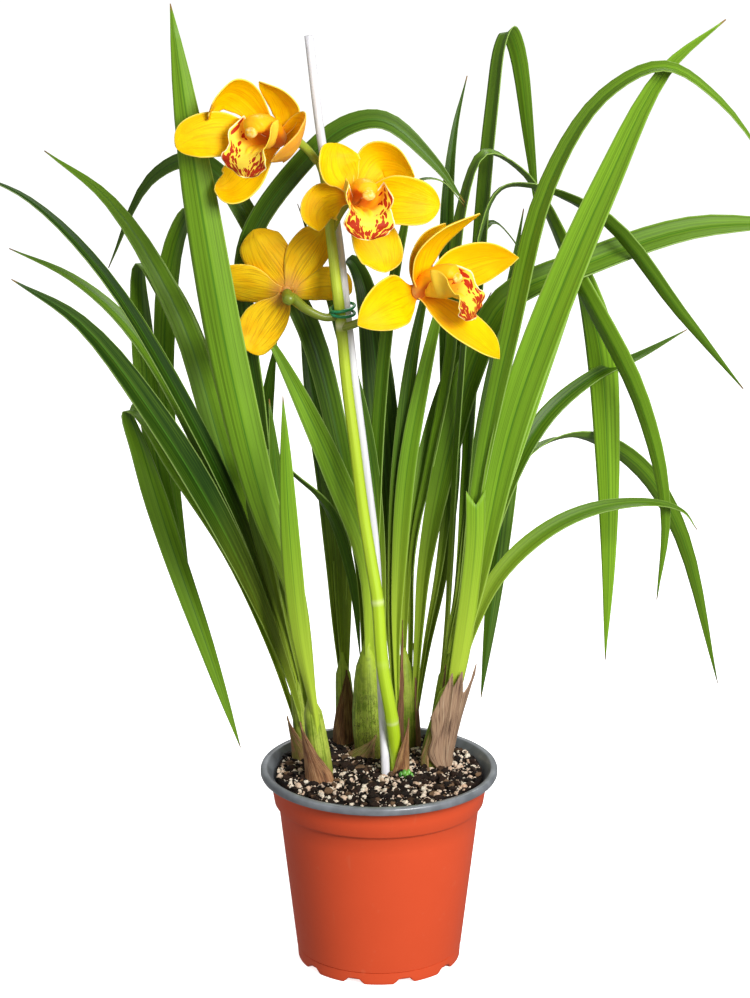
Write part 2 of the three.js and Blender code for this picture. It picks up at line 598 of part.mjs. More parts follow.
// ---- Blooms ----
// Frames carried along a curve without twist, starting from a given face direction.
function carriedFace(curve, start, steps) {
  const faces = [];
  let face = start.clone();
  for (let i = 0; i <= steps; i += 1) {
    const ahead = curve.getTangent(i / steps);
    face = face.clone().addScaledVector(ahead, -face.dot(ahead)).normalize();
    faces.push(face);
  }
  return (t) => {
    const k = Math.min(Math.floor(t * steps), steps - 1);
    return faces[k].clone().lerp(faces[k + 1], t * steps - k).normalize();
  };
}

// A tepal is narrow at its foot, widest past the middle and blunt at the tip, with its edges cupped forward.
function tepal({ width, spine }, heart, facing) {
  const curve = pathOf(spine.map(([x, y, z]) => [heart[0] + x, heart[1] + y, heart[2] + z]));
  const faceAt = carriedFace(curve, facing, 20);
  const place = (s, t) => {
    const face = faceAt(t);
    const side = face.clone().cross(curve.getTangent(t)).normalize();
    const blunt = Math.sqrt(Math.max(0, 1 - Math.max(0, (t - 0.5) / 0.5) ** 2.6));
    const half = Math.max(0.9, (width / 2) * mixNumbers(0.3, 1, smooth(t / 0.5)) * blunt);
    const point = curve.getPoint(t).addScaledVector(side, -s * half);
    return point.addScaledVector(face, 0.22 * half * s * s);
  };
  return sheet(place, 5, 4, petalThickness);
}

function bloomFrame({ heart, facing, tilt }) {
  const ahead = vector(...facing).normalize();
  const right = vector(0, 0, 1).cross(ahead).normalize().applyAxisAngle(ahead, radians(tilt));
  const up = ahead.clone().cross(right);
  const at = (sideways, rise, forward) =>
    vector(...heart).addScaledVector(right, sideways).addScaledVector(up, rise).addScaledVector(ahead, forward);
  return { ahead, at };
}

function makeBloom(bloom) {
  const { ahead, at } = bloomFrame(bloom);
  const { back, length, rise, radius, capRadius } = column;
  const route = [[0, -back], [0, 0], [rise, 0.4 * length], [rise, 0.8 * length], [0.4 * rise, length]];
  const path = route.map(([up, forward]) => at(0, up, forward).toArray());
  const petals = bloom.tepals.map((entry) => tepal(entry, bloom.heart, ahead));
  return fuse([rod(path, [radius, capRadius], 5, 8), ...petals]);
}

// The lip runs forward under the column with its side lobes folded up, then its broad front lobe hangs down.
function makeLip(bloom) {
  const { at } = bloomFrame(bloom);
  const spine = pathOf([
    [0, -lip.below, lip.start],
    [0, -lip.below - 4, 0.45 * lip.length],
    [0, -lip.below - 6, 0.75 * lip.length],
    [0, -lip.below - 12, 0.95 * lip.length],
    [0, -lip.drop, 0.9 * lip.length],
  ]);
  const widths = [[0, 0.35], [0.14, 0.8], [0.36, 1.4], [0.5, 1.24], [0.62, 0.88], [0.75, 0.98], [0.88, 0.84],
    [1, 0.3]];
  const folds = [[0, 60], [0.4, 58], [0.62, 26], [0.85, -4], [1, -16]];
  const place = (s, t) => {
    const [, rise, forward] = spine.getPoint(t).toArray();
    const ahead = spine.getTangent(t);
    const half = (lip.width / 2) * alongStops(widths, t);
    const fold = radians(alongStops(folds, t)) * Math.abs(s);
    const ripple = 0.9 * Math.sin(9 * t) * s * s;
    const lift = half * Math.abs(s) * Math.sin(fold) + ripple;
    return at(s * half * Math.cos(fold), rise + lift * ahead.z, forward - lift * ahead.y);
  };
  return sheet(place, 8, 4, petalThickness);
}

// ---- The whole plant ----
const orchid = new THREE.Group();
orchid.add(named("pot", makePot(), "#d2552d", 0.5));
orchid.add(named("potting_mix", makeMix(), "#3f2f27", 0.95));
for (const shoot of shoots) {
  orchid.add(named(shoot.name, makeShoot(shoot), green));
}
for (const bract of bracts) {
  orchid.add(named(bract.name, makeBract(bract), dryBrown, 0.85));
}
orchid.add(named("flower_spike", makeSpike(), limeGreen));
orchid.add(named("stake", makeStake(), "#eceaee", 0.45));
orchid.add(named("tie", makeTie(), "#1e8c5a", 0.4));
for (const bloom of blooms) {
  orchid.add(named(bloom.name, makeBloom(bloom), petalYellow, 0.5));
  orchid.add(named(bloom.name.replace("bloom", "lip"), makeLip(bloom), "#f9e79a", 0.5));
}

export default orchid;
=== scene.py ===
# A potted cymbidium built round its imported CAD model. The tables are in millimetres and degrees.
import math
import random
import bmesh
import bpy
from mathutils import Matrix, Vector, noise


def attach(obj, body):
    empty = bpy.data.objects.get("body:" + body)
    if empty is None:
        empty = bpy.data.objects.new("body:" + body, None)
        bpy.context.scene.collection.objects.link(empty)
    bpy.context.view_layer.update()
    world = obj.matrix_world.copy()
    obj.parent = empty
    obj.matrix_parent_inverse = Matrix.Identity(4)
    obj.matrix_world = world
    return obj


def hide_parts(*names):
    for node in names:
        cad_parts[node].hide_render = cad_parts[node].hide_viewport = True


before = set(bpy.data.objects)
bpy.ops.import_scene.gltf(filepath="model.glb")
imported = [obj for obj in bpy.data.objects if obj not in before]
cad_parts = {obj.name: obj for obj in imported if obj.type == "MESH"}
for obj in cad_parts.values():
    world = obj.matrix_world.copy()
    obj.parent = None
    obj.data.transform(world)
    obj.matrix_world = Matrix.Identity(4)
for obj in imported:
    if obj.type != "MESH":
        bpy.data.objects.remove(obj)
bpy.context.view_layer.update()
scene = bpy.context.scene
mm = 0.001
up = Vector((0, 0, 1))
weldGap = 1e-6


# Numbers and curves
def mixed(low, high, share):
    return low + (high - low) * share


def smooth(x):
    x = min(max(x, 0), 1)
    return x * x * (3 - 2 * x)


def bump(x, middle, spread):
    return math.exp(-((x - middle) / spread) ** 2)


def alongStops(stops, x, ease=False):  # the value at x of (position, value) stops, or a plain number
    if not isinstance(stops, (list, tuple)):
        return stops
    for (start, low), (end, high) in zip(stops, stops[1:]):
        if x <= end:
            share = (x - start) / (end - start)
            return mixed(low, high, smooth(share) if ease else share)
    return stops[-1][1]


def parted(row):  # the values of a table's row, and the dictionary that may end it
    return (row[:-1], row[-1]) if isinstance(row[-1], dict) else (row, {})


def ripple(point, size, seed=0):  # smooth noise from -1 to 1 on lumps of the given size
    return noise.noise(Vector(point) / size + Vector((seed * 7.3, seed * 3.1, seed * 5.7)))


class Route:  # a smooth curve through points, with its length measured
    def __init__(self, points, steps=60):
        self.points = [Vector(point) for point in points]
        self.steps = steps
        spots = [self.at(i / steps) for i in range(steps + 1)]
        self.lengths = [0]
        for first, second in zip(spots, spots[1:]):
            self.lengths.append(self.lengths[-1] + (second - first).length)
        self.length = self.lengths[-1]

    def at(self, t):
        last = len(self.points) - 1
        place = min(max(t, 0), 1) * last
        k = min(int(place), last - 1)
        p1, p2 = self.points[k], self.points[k + 1]
        p0 = self.points[k - 1] if k else 2 * p1 - p2
        p3 = self.points[k + 2] if k + 2 <= last else 2 * p2 - p1
        d0, d1, d2 = [max((b - a).length, 1e-6) ** 0.5 for a, b in ((p0, p1), (p1, p2), (p2, p3))]
        out = ((p1 - p0) / d0 - (p2 - p0) / (d0 + d1) + (p2 - p1) / d1) * d1
        into = ((p2 - p1) / d1 - (p3 - p1) / (d1 + d2) + (p3 - p2) / d2) * d1
        w = place - k
        return p1 + out * w + (3 * (p2 - p1) - 2 * out - into) * w * w + (2 * (p1 - p2) + out + into) * w ** 3

    def ahead(self, t):
        return (self.at(min(t + 0.002, 1)) - self.at(max(t - 0.002, 0))).normalized()

    def share(self, t):
        k = min(int(t * self.steps), self.steps - 1)
        return mixed(self.lengths[k], self.lengths[k + 1], t * self.steps - k) / self.length

    def faces(self, start):  # a face direction carried along without twist
        found, face = [], start
        for i in range(self.steps + 1):
            ahead = self.ahead(i / self.steps)
            face = (face - ahead * face.dot(ahead)).normalized()
            found.append(face)
        return lambda t: found[min(int(t * self.steps), self.steps)].lerp(
            found[min(int(t * self.steps) + 1, self.steps)], t * self.steps % 1).normalized()


# Mesh helpers
def newMesh(*marks):  # a bmesh with a UV map and one float layer for each mark
    mesh = bmesh.new()
    mesh.loops.layers.uv.new("UVMap")
    for mark in marks:
        mesh.verts.layers.float.new(mark)
    return mesh


def addSheet(mesh, rows, columns, place, **marks):  # s runs -1 to 1 across and t 0 to 1 along
    verts = bmesh.ops.create_grid(mesh, x_segments=columns, y_segments=rows, size=1, calc_uvs=True)["verts"]
    for vert in verts:
        s, t = vert.co.x, (vert.co.y + 1) / 2
        for mark, value in marks.items():
            vert[mesh.verts.layers.float[mark]] = value(s, t) if callable(value) else value
        vert.co = place(s, t)
    return verts


def addTube(mesh, route, radius, sides, rows, start=None, **marks):
    # radius is a value, stops along the route, or a function of the angle and t; both ends are closed
    faceAt = route.faces(start or Vector((0.02, 1, 0.01)))

    def place(s, t):
        closed = 0 if t < 0.001 or t > 0.999 else 1
        t = min(max((t - 1 / rows) / (1 - 2 / rows), 0), 1)
        ahead, face = route.ahead(t), faceAt(t)
        side = ahead.cross(face)
        reach = closed * (radius(s * 180, t) if callable(radius) else alongStops(radius, t))
        angle = math.pi * s
        return route.at(t) + (side * math.cos(angle) + face * math.sin(angle)) * reach

    bmesh.ops.remove_doubles(mesh, verts=addSheet(mesh, rows, sides, place, **marks), dist=weldGap)


def finish(name, mesh, materials, nodes=(), thickness=0, under=0, smoothed=True):
    for face in mesh.faces:
        face.smooth = smoothed
    data = bpy.data.meshes.new(name)
    mesh.to_mesh(data)
    mesh.free()
    piece = bpy.data.objects.new(name, data)
    scene.collection.objects.link(piece)
    for material in materials:
        data.materials.append(material)
    if thickness:
        solid = piece.modifiers.new("thickness", "SOLIDIFY")
        solid.thickness = thickness
        solid.offset = 0
        solid.material_offset = under
    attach(piece, "root")
    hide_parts(*nodes)


# Shader helpers
def rgb(code):
    parts = [int(code[i:i + 2], 16) / 255 for i in (1, 3, 5)]
    return (*[part / 12.92 if part <= 0.04045 else ((part + 0.055) / 1.055) ** 2.4 for part in parts], 1)


class Wire:  # a socket whose arithmetic adds Math nodes
    def __init__(self, tree, socket=None):
        self.tree = tree
        self.socket = socket

    def feed(self, entry, value):  # a link from a wire, or a plain value, where a colour may be a hex code
        if isinstance(value, Wire):
            self.tree.links.new(value.socket, entry)
        else:
            entry.default_value = rgb(value) if isinstance(value, str) else value

    def node(self, kind, settings=None, inputs=None, output=0):
        made = self.tree.nodes.new("ShaderNode" + kind)
        for name, value in (settings or {}).items():
            setattr(made, name, value)
        for name, value in (inputs or {}).items():
            self.feed(made.inputs[name], value)
        return Wire(self.tree, made.outputs[output])

    def maths(self, operation, *values):
        return self.node("Math", {"operation": operation}, dict(enumerate(values)))

    def __add__(self, other):
        return self.maths("ADD", self, other)

    def __sub__(self, other):
        return self.maths("SUBTRACT", self, other)

    def __rsub__(self, other):
        return self.maths("SUBTRACT", other, self)

    def __mul__(self, other):
        return self.maths("MULTIPLY", self, other)

    def __abs__(self):
        return self.maths("ABSOLUTE", self)

    __radd__ = __add__
    __rmul__ = __mul__

    def most(self, other):
        return self.maths("MAXIMUM", self, other)

    def least(self, other):
        return self.maths("MINIMUM", self, other)

    def ramp(self, low, high):  # 0 below low and 1 above high, smoothly; high under low turns it round
        return self.node("MapRange", {"interpolation_type": "SMOOTHSTEP"}, {0: self, 1: low, 2: high})

    def blend(self, first, second):  # the first colour where this is 0 and the second where it is 1
        return self.node("Mix", {"data_type": "RGBA"}, {0: self, 6: first, 7: second}, 2)

    def shade(self, color, depth):  # the colour times 1 - depth where this is 1
        kind = {"data_type": "RGBA", "blend_type": "MULTIPLY"}
        return self.node("Mix", kind, {0: self, 6: color, 7: (1 - depth, 1 - depth, 1 - depth, 1)}, 2)

    def mark(self, name):
        return self.node("Attribute", {"attribute_name": name}, output=2)

    def uv(self):  # across and along, both from 0 to 1
        across = self.node("SeparateXYZ", inputs={0: self.node("TexCoord", output=2)})
        return across, Wire(self.tree, across.socket.node.outputs[1])

    def place(self):
        return self.node("TexCoord", output=3)

    def stretched(self, *scale):  # the place, scaled by a value for each axis
        return self.node("Mapping", inputs={"Vector": self.place(), "Scale": scale})

    def vector(self, x, y, z=0.0):
        return self.node("CombineXYZ", inputs={0: x, 1: y, 2: z})

    def grain(self, where, scale, detail=2.0, roughness=0.5, distortion=0.0):
        return self.node("TexNoise", inputs={"Vector": where, "Scale": scale, "Detail": detail,
                                             "Roughness": roughness, "Distortion": distortion})

    def streaks(self, x, y, z=0.0, *texture):  # noise of size 1 in axes that are already stretched
        return self.grain(self.vector(x, y, z), 1, *texture)

    def raised(self, height, distance, strength=1.0):  # a bump normal
        return self.node("Bump", inputs={"Strength": strength, "Distance": distance, "Height": height})


def newMaterial(name, paint, **fixed):  # paint gets a bare wire and returns the shader inputs that vary
    material = bpy.data.materials.new(name)
    material.use_nodes = True
    shader = material.node_tree.nodes["Principled BSDF"]
    bare = Wire(material.node_tree)
    for key, value in fixed.items():
        shader.inputs[key.replace("_", " ")].default_value = value
    for key, value in paint(bare).items():
        bare.feed(shader.inputs[key], value)
    return material


# Materials
leafLook = {
    "dark": "#1b3a01", "light": "#86b528", "lime": "#bcd242", "limeEnds": (0.02, 0.2),
    "rib": "#3f7018", "edge": "#a9c86a", "tip": "#8d6a35", "roughness": 0.42,
}


def paintLeaf(w):
    look = leafLook
    across, _ = w.uv()
    far, left, tint = w.mark("along"), w.mark("left"), w.mark("tint")
    off = abs(across - 0.5) * 2
    streaks = w.streaks(across * 13, far * 5, tint * 40, 3, 0.65)
    lines = w.streaks(across * 36, far * 1.6, tint * 17, 2, 0.6)
    patches = w.streaks(across * 2, far * 11, tint * 31, 2)
    # a leaf's tint, from shaded to bright, sets how dark its whole blade is painted: partly its own tone,
    # partly painted shade for leaves that stand in shadow
    blade = tint * 1.25 - 0.13 + (patches - 0.5) * 0.35 + (streaks - 0.5) * 0.75
    blade = blade.blend(look["dark"], look["light"])
    blade = (lines.ramp(0.45, 0.66) * 0.75).shade(blade, 0.5)
    blade = (off.ramp(0.07, 0.02) * 0.75).blend(blade, look["rib"])
    blade = (off.ramp(0.90, 0.99) * 0.55).blend(blade, look["edge"])
    young = far.ramp(look["limeEnds"][1], look["limeEnds"][0]) * (0.42 + tint * 0.55 + (streaks - 0.5) * 0.8)
    color = young.least(1).blend(blade, look["lime"])
    color = (left + (streaks - 0.5) * 0.012).ramp(0.006, 0.001).blend(color, look["tip"])
    return {
        "Base Color": color,
        "Roughness": look["roughness"] + (streaks - 0.5) * 0.25,
        "Normal": w.raised(lines * 0.6 + streaks * 0.4, 0.00022, 0.55),
    }


leafSkin = newMaterial("leafSkin", paintLeaf, Specular_IOR_Level=0.22)

stemLook = {"olive": "#6f8a1e", "pale": "#bfcf55", "top": "#b4cc3c", "foot": "#5a4a20", "crease": "#38300f",
            "moss": "#4d6a1a"}


def paintStem(w):  # striped leaf sheaths; a high mark gives a bulb its mottles and creases
    look = stemLook
    across, _ = w.uv()
    far, mottle, place = w.mark("along"), w.mark("tint"), w.place()
    stripes = w.streaks(across * 42, far * 5, mottle * 9, 3, 0.65)
    clouds = w.grain(place, 110, 3, 0.6)
    creases = w.grain(w.stretched(420, 420, 110), 1, 3, 0.6, 1.5)
    color = (stripes + (clouds - 0.5) * 0.9).ramp(0.3, 0.72).blend(look["olive"], look["pale"])
    color = (far.ramp(0.035, 0.06) * 0.75).blend(color, look["top"])
    color = (clouds.ramp(0.5, 0.66) * mottle * 0.55).blend(color, look["moss"])
    low = far.ramp(0.055, 0.03)
    # painted shade: the bulb's wrinkles are painted dark where shade falls in them
    color = (abs(creases - 0.5).ramp(0.035, 0.004) * mottle * low * 0.9).blend(color, look["crease"])
    color = (far.ramp(0.03, 0.015) * (0.35 + clouds * 0.6)).blend(color, look["foot"])
    return {"Base Color": color, "Roughness": 0.42 + stripes * 0.12,
            "Normal": w.raised(stripes * 0.5 + creases * (mottle * low), 0.0006, 0.7)}


stemSkin = newMaterial("stemSkin", paintStem, Specular_IOR_Level=0.3)

spikeLook = {"low": "#b3d420", "high": "#b4c437", "olive": "#77851f", "shine": "#dcec62", "ring": "#eef0c0"}


def paintSpike(w):
    look = spikeLook
    across, _ = w.uv()
    far, ring, tint = w.mark("along"), w.mark("ring"), w.mark("tint")
    streaks = w.streaks(across * 30, far * 9, tint * 9, 3, 0.6)
    freckles = w.grain(w.place(), 900, 1)
    color = far.ramp(0.1, 0.42).blend(look["low"], look["high"])
    color = tint.blend(color, look["olive"])
    color = (streaks.ramp(0.5, 0.75) * 0.35).blend(color, look["shine"])
    color = (freckles.ramp(0.66, 0.8) * 0.4).shade(color, 0.35)
    color = ring.blend(color, look["ring"])
    return {"Base Color": color, "Roughness": 0.38 + streaks * 0.1, "Normal": w.raised(streaks, 0.0003, 0.35)}


spikeSkin = newMaterial("spikeSkin", paintSpike, Coat_Weight=0.15, Coat_Roughness=0.25)

bractLook = {
    "tan": "#cfa067", "brown": "#84512c", "grey": "#a8927a", "silverFibreSheen": "#e2cfb4", "stain": "#3a2018",
    "rose": "#9a6650", "green": "#8ea23a",
}


def paintBract(w):
    look = bractLook
    across, along = w.uv()
    age = w.mark("age")
    fibres = w.streaks(across * 34, along * 2.2, age * 23, 4, 0.65, 0.3)
    blotches = w.streaks(across * 4, along * 3, age * 11, 3, 0.6)
    cracks = w.streaks(across * 60, along * 3, age * 5, 2)
    color = (fibres + (blotches - 0.5) * 1.2).ramp(0.25, 0.8).blend(look["brown"], look["tan"])
    color = (age * (0.35 + blotches)).blend(color, look["grey"])
    # pale silver streaks along the fibres: partly their own papery colour, partly a painted sheen
    color = (fibres.ramp(0.56, 0.72) * (0.2 + age * 0.6)).blend(color, look["silverFibreSheen"])
    color = (cracks.ramp(0.5, 0.34) * 0.85).blend(color, look["stain"])
    color = (w.mark("rose") * blotches.ramp(0.35, 0.6)).blend(color, look["rose"])
    color = (w.mark("fresh") * blotches.ramp(0.6, 0.4)).blend(color, look["green"])
    color = w.mark("dark").shade(color, 0.75)
    return {"Base Color": color, "Roughness": 0.62 + fibres * 0.2, "Normal": w.raised(fibres, 0.0008, 0.8)}


bractSkin = newMaterial("bractSkin", paintBract, Specular_IOR_Level=0.35)

petalLook = {
    "face": "#fccc00", "deep": "#f3b100", "heart": "#ee8a08", "vein": "#d49200", "rim": "#ffe46a",
    "back": "#f4c619", "backHeart": "#c98a45", "backVein": "#a06a10", "stain": "#8a3c12", "blush": "#f0a042",
}


def petalMask(w):  # what both sides of a petal are painted by
    across, along = w.uv()
    age = w.mark("age")
    off = abs(across - 0.5) * 2
    fan = (across - 0.5) * (along * 0.75 + 0.35)  # veins spread from the foot and run on to the tip
    veins = w.streaks(fan * 46, along * 2.4, age * 13, 2, 0.6, 0.15)
    clouds = w.streaks(across * 2.5, along * 4, age * 29, 2)
    rim = off.ramp(0.94, 0.99).most(along.ramp(0.98, 0.998))
    return along, off, veins, clouds, rim


def paintPetal(w):
    look = petalLook
    along, off, veins, clouds, rim = petalMask(w)
    color = (clouds.ramp(0.3, 0.75) * 0.7).blend(look["face"], look["deep"])
    color = (veins.ramp(0.5, 0.66) * (along.ramp(1.0, 0.3) * 0.32 + 0.16)).blend(color, look["vein"])
    color = (along.ramp(0.24, 0.02) * (0.5 + veins * 0.6)).blend(color, look["heart"])
    color = (off.ramp(0.06, 0.01) * 0.25).shade(color, 0.35)
    color = (rim * 0.8).blend(color, look["rim"])
    color = (w.mark("stain") * veins.ramp(0.42, 0.62)).blend(color, look["stain"])
    color = (w.mark("blush") * (0.4 + veins)).blend(color, look["blush"])
    return {"Base Color": color, "Roughness": 0.44 + veins * 0.12, "Normal": w.raised(veins, 0.00045, 0.6)}


def paintPetalBack(w):
    look = petalLook
    along, off, veins, clouds, rim = petalMask(w)
    color = (clouds.ramp(0.3, 0.75) * 0.8).blend(look["back"], look["deep"])
    strength = (along.ramp(1.0, 0.15) * 0.6 + 0.1) * (0.4 + w.mark("age") * 0.5)
    color = (veins.ramp(0.48, 0.64) * strength).blend(color, look["backVein"])
    color = (along.ramp(0.22, 0.02) * 0.8).blend(color, look["backHeart"])
    color = (off.ramp(0.08, 0.01) * along.ramp(0.95, 0.2) * 0.5).shade(color, 0.45)
    color = (w.mark("stain") * veins.ramp(0.38, 0.6)).blend(color, look["stain"])
    color = (w.mark("blush") * (0.4 + veins)).blend(color, look["blush"])
    color = (rim * 0.5).blend(color, look["rim"])
    return {"Base Color": color, "Roughness": 0.46 + veins * 0.12, "Normal": w.raised(veins, 0.0006, 0.7)}


petalGlow = {"Subsurface_Weight": 0.12, "Subsurface_Radius": (1.0, 0.5, 0.02), "Subsurface_Scale": 0.003,
             "Specular_IOR_Level": 0.1}
petalFace = newMaterial("petalFace", paintPetal, **petalGlow)
petalBack = newMaterial("petalBack", paintPetalBack, **petalGlow)

lipLook = {
    "cream": "#fbd545", "outer": "#f6c93a", "throat": "#f0a216", "ridge": "#f7c21c", "spot": "#a80e10",
    "spotEdge": "#c4361c", "rim": "#fff4cf", "hood": "#f6b51c", "rear": "#c08c4c", "cap": "#fbdf8e",
    "mouth": "#c4641c",
}


def paintLip(w):
    look = lipLook
    across, along = w.uv()
    off = abs(across - 0.5) * 2
    fan = (across - 0.5) * (along.ramp(0.5, 1.0) * 0.5 + 0.75)
    cell = w.vector(fan * 21, along * 11, w.mark("age") * 19)
    bend = w.streaks(across * 6, along * 6, 0, 2)
    spots = w.node("TexVoronoi", {"feature": "F1"}, {"Vector": cell, "Scale": 1.0, "Randomness": 0.9})
    lobes = off.ramp(0.25, 0.6) * along.ramp(0.12, 0.3) * (0.4 + along * 0.16)
    front = along.ramp(0.52, 0.66) * off.ramp(0.1, 0.4).most(along.ramp(0.74, 0.86)) * 0.66
    mask = (lobes.most(front) - spots + (bend - 0.5) * 0.35).ramp(-0.04, 0.03)
    rim = off.ramp(0.945, 0.98).most(along.ramp(0.96, 0.98))
    mask = mask * (1 - rim)
    color = along.ramp(0.5, 0.16).blend(look["cream"], look["throat"])
    color = w.mark("ridge").blend(color, look["ridge"])
    color = (along.ramp(0.22, 0.04) * 0.85).blend(color, look["mouth"])
    color = (rim * 0.8).blend(color, look["rim"])
    color = (mask * 0.96).blend(color, (mask - 0.5).ramp(0.0, 0.5).blend(look["spotEdge"], look["spot"]))
    # the lip glows a little in its own colour: painted light that lifts the shade in its throat
    return {"Base Color": color, "Emission Color": color, "Roughness": 0.4 + bend * 0.15,
            "Normal": w.raised(bend, 0.0006, 0.4)}


def paintLipBack(w):  # the outside of the lip, plain but for a little red that shows through
    across, along = w.uv()
    clouds = w.streaks(across * 9, along * 7, w.mark("age") * 5, 3, 0.6)
    color = along.ramp(0.1, 0.8).blend(lipLook["outer"], lipLook["cream"])
    color = (clouds.ramp(0.58, 0.72) * along.ramp(0.3, 0.6) * 0.35).blend(color, lipLook["spotEdge"])
    return {"Base Color": color, "Roughness": 0.45}


# its Emission Strength is painted light, a faint glow that brightens the shaded throat
lipSkin = newMaterial("lipSkin", paintLip, **petalGlow, Emission_Strength=0.16)
lipBack = newMaterial("lipBack", paintLipBack, **petalGlow)


def paintHood(w):  # the column's back, and its underside in the throat's red
    look = lipLook
    _, along = w.uv()
    fleck = w.grain(w.place(), 700, 2)
    color = along.ramp(0.15, 0.8).blend(petalLook["heart"], look["hood"])
    color = along.ramp(0.42, 0.3).blend(color, look["rear"])
    color = w.mark("under").blend(color, look["mouth"])
    color = (fleck.ramp(0.6, 0.75) * 0.3).shade(color, 0.3)
    # the column glows a little in its own colour: painted light that lifts the shade in the throat
    return {"Base Color": color, "Emission Color": color, "Roughness": 0.38}


# its Emission Strength is painted light, a faint glow that brightens the column in the shaded throat
glowingHoodSkin = newMaterial("glowingHoodSkin", paintHood, **petalGlow, Emission_Strength=0.16)
capSkin = newMaterial("capSkin", lambda w: {"Base Color": w.grain(w.place(), 400, 2).ramp(0.3, 0.7).blend(
    lipLook["cap"], lipLook["hood"]), "Roughness": 0.35}, **petalGlow)

potLook = {"clay": "#e5542a", "shadow": "#d94d23", "dust": "#e08a64", "lip": "#63676c", "lipWorn": "#888d93"}


def paintClay(w):
    look = potLook
    place = w.place()
    clouds = w.grain(place, 18, 3)
    mist = w.grain(place, 160, 2)
    scuffs = w.grain(w.stretched(300, 300, 20), 1, 2)
    fine = w.grain(place, 2600, 1)
    color = clouds.blend(look["clay"], look["shadow"])
    color = (mist.ramp(0.66, 0.8) * 0.12 + scuffs.ramp(0.68, 0.8) * 0.10).blend(color, look["dust"])
    return {
        "Base Color": color,
        "Roughness": 0.46 + mist * 0.12 + scuffs * 0.05,
        "Normal": w.raised(fine * 0.5 + mist, 0.00012, 0.35),
    }


def paintLipPlastic(w):
    look = potLook
    place = w.place()
    worn = w.grain(place, 55, 3)
    fine = w.grain(place, 1800, 1)
    color = worn.ramp(0.35, 0.75).blend(look["lip"], look["lipWorn"])
    return {"Base Color": color, "Roughness": 0.34 + worn * 0.15, "Normal": w.raised(fine, 0.0001, 0.3)}


clayPlastic = newMaterial("clayPlastic", paintClay, Specular_IOR_Level=0.4)
lipPlastic = newMaterial("lipPlastic", paintLipPlastic, Coat_Weight=0.6, Coat_Roughness=0.22)

mixLook = {"peat": "#0d0705", "bark": "#331e10", "barkPale": "#8a6c50", "perlite": "#fbf1dc",
           "perliteRose": "#dcb99c", "pit": "#8c7260"}


def paintPeat(w):
    place = w.place()
    crumbs = w.grain(place, 420, 4, 0.7)
    lumps = w.grain(place, 120, 3)
    color = crumbs.ramp(0.35, 0.8).blend(mixLook["peat"], mixLook["bark"])
    return {"Base Color": (lumps.ramp(0.6, 0.4) * 0.6).shade(color, 0.6), "Roughness": 0.9,
            "Normal": w.raised(crumbs + lumps, 0.0025, 0.9)}


def paintBark(w):
    place = w.place()
    tint = w.mark("tint")
    fibres = w.grain(place, 650, 4, 0.7)
    color = (tint + (fibres - 0.5) * 0.9).blend(mixLook["peat"], mixLook["bark"])
    color = (tint.ramp(0.75, 1.0) * 0.7).blend(color, mixLook["barkPale"])
    return {"Base Color": color, "Roughness": 0.8, "Normal": w.raised(fibres, 0.0012, 0.9)}


def paintPerlite(w):
    place = w.place()
    tint = w.mark("tint")
    pits = w.grain(place, 1100, 3, 0.7)
    color = tint.blend(mixLook["perliteRose"], mixLook["perlite"])
    color = (pits.ramp(0.48, 0.3) * 0.75).blend(color, mixLook["pit"])
    return {"Base Color": color, "Roughness": 0.85, "Normal": w.raised(pits, 0.0012, 0.9)}


peat = newMaterial("peat", paintPeat, Specular_IOR_Level=0.2)
barkChip = newMaterial("barkChip", paintBark, Specular_IOR_Level=0.3)
perlite = newMaterial("perlite", paintPerlite, Specular_IOR_Level=0.3)
whitePlastic = newMaterial("whitePlastic", lambda w: {
    "Base Color": w.grain(w.stretched(500, 500, 6), 1, 2).ramp(0.35, 0.7).blend("#dcdadf", "#f1f0f3"),
    "Roughness": 0.32}, Coat_Weight=0.2)
tiePlastic = newMaterial("tiePlastic", lambda w: {
    "Base Color": w.grain(w.place(), 300, 2).blend("#0c7a48", "#25a066"), "Roughness": 0.3},
    Coat_Weight=0.3)
budSkin = newMaterial("budSkin", lambda w: {
    "Base Color": w.grain(w.place(), 260, 3).ramp(0.35, 0.65).blend("#1f6a1c", "#6fae3c"),
    "Roughness": 0.35})
print("materials made")


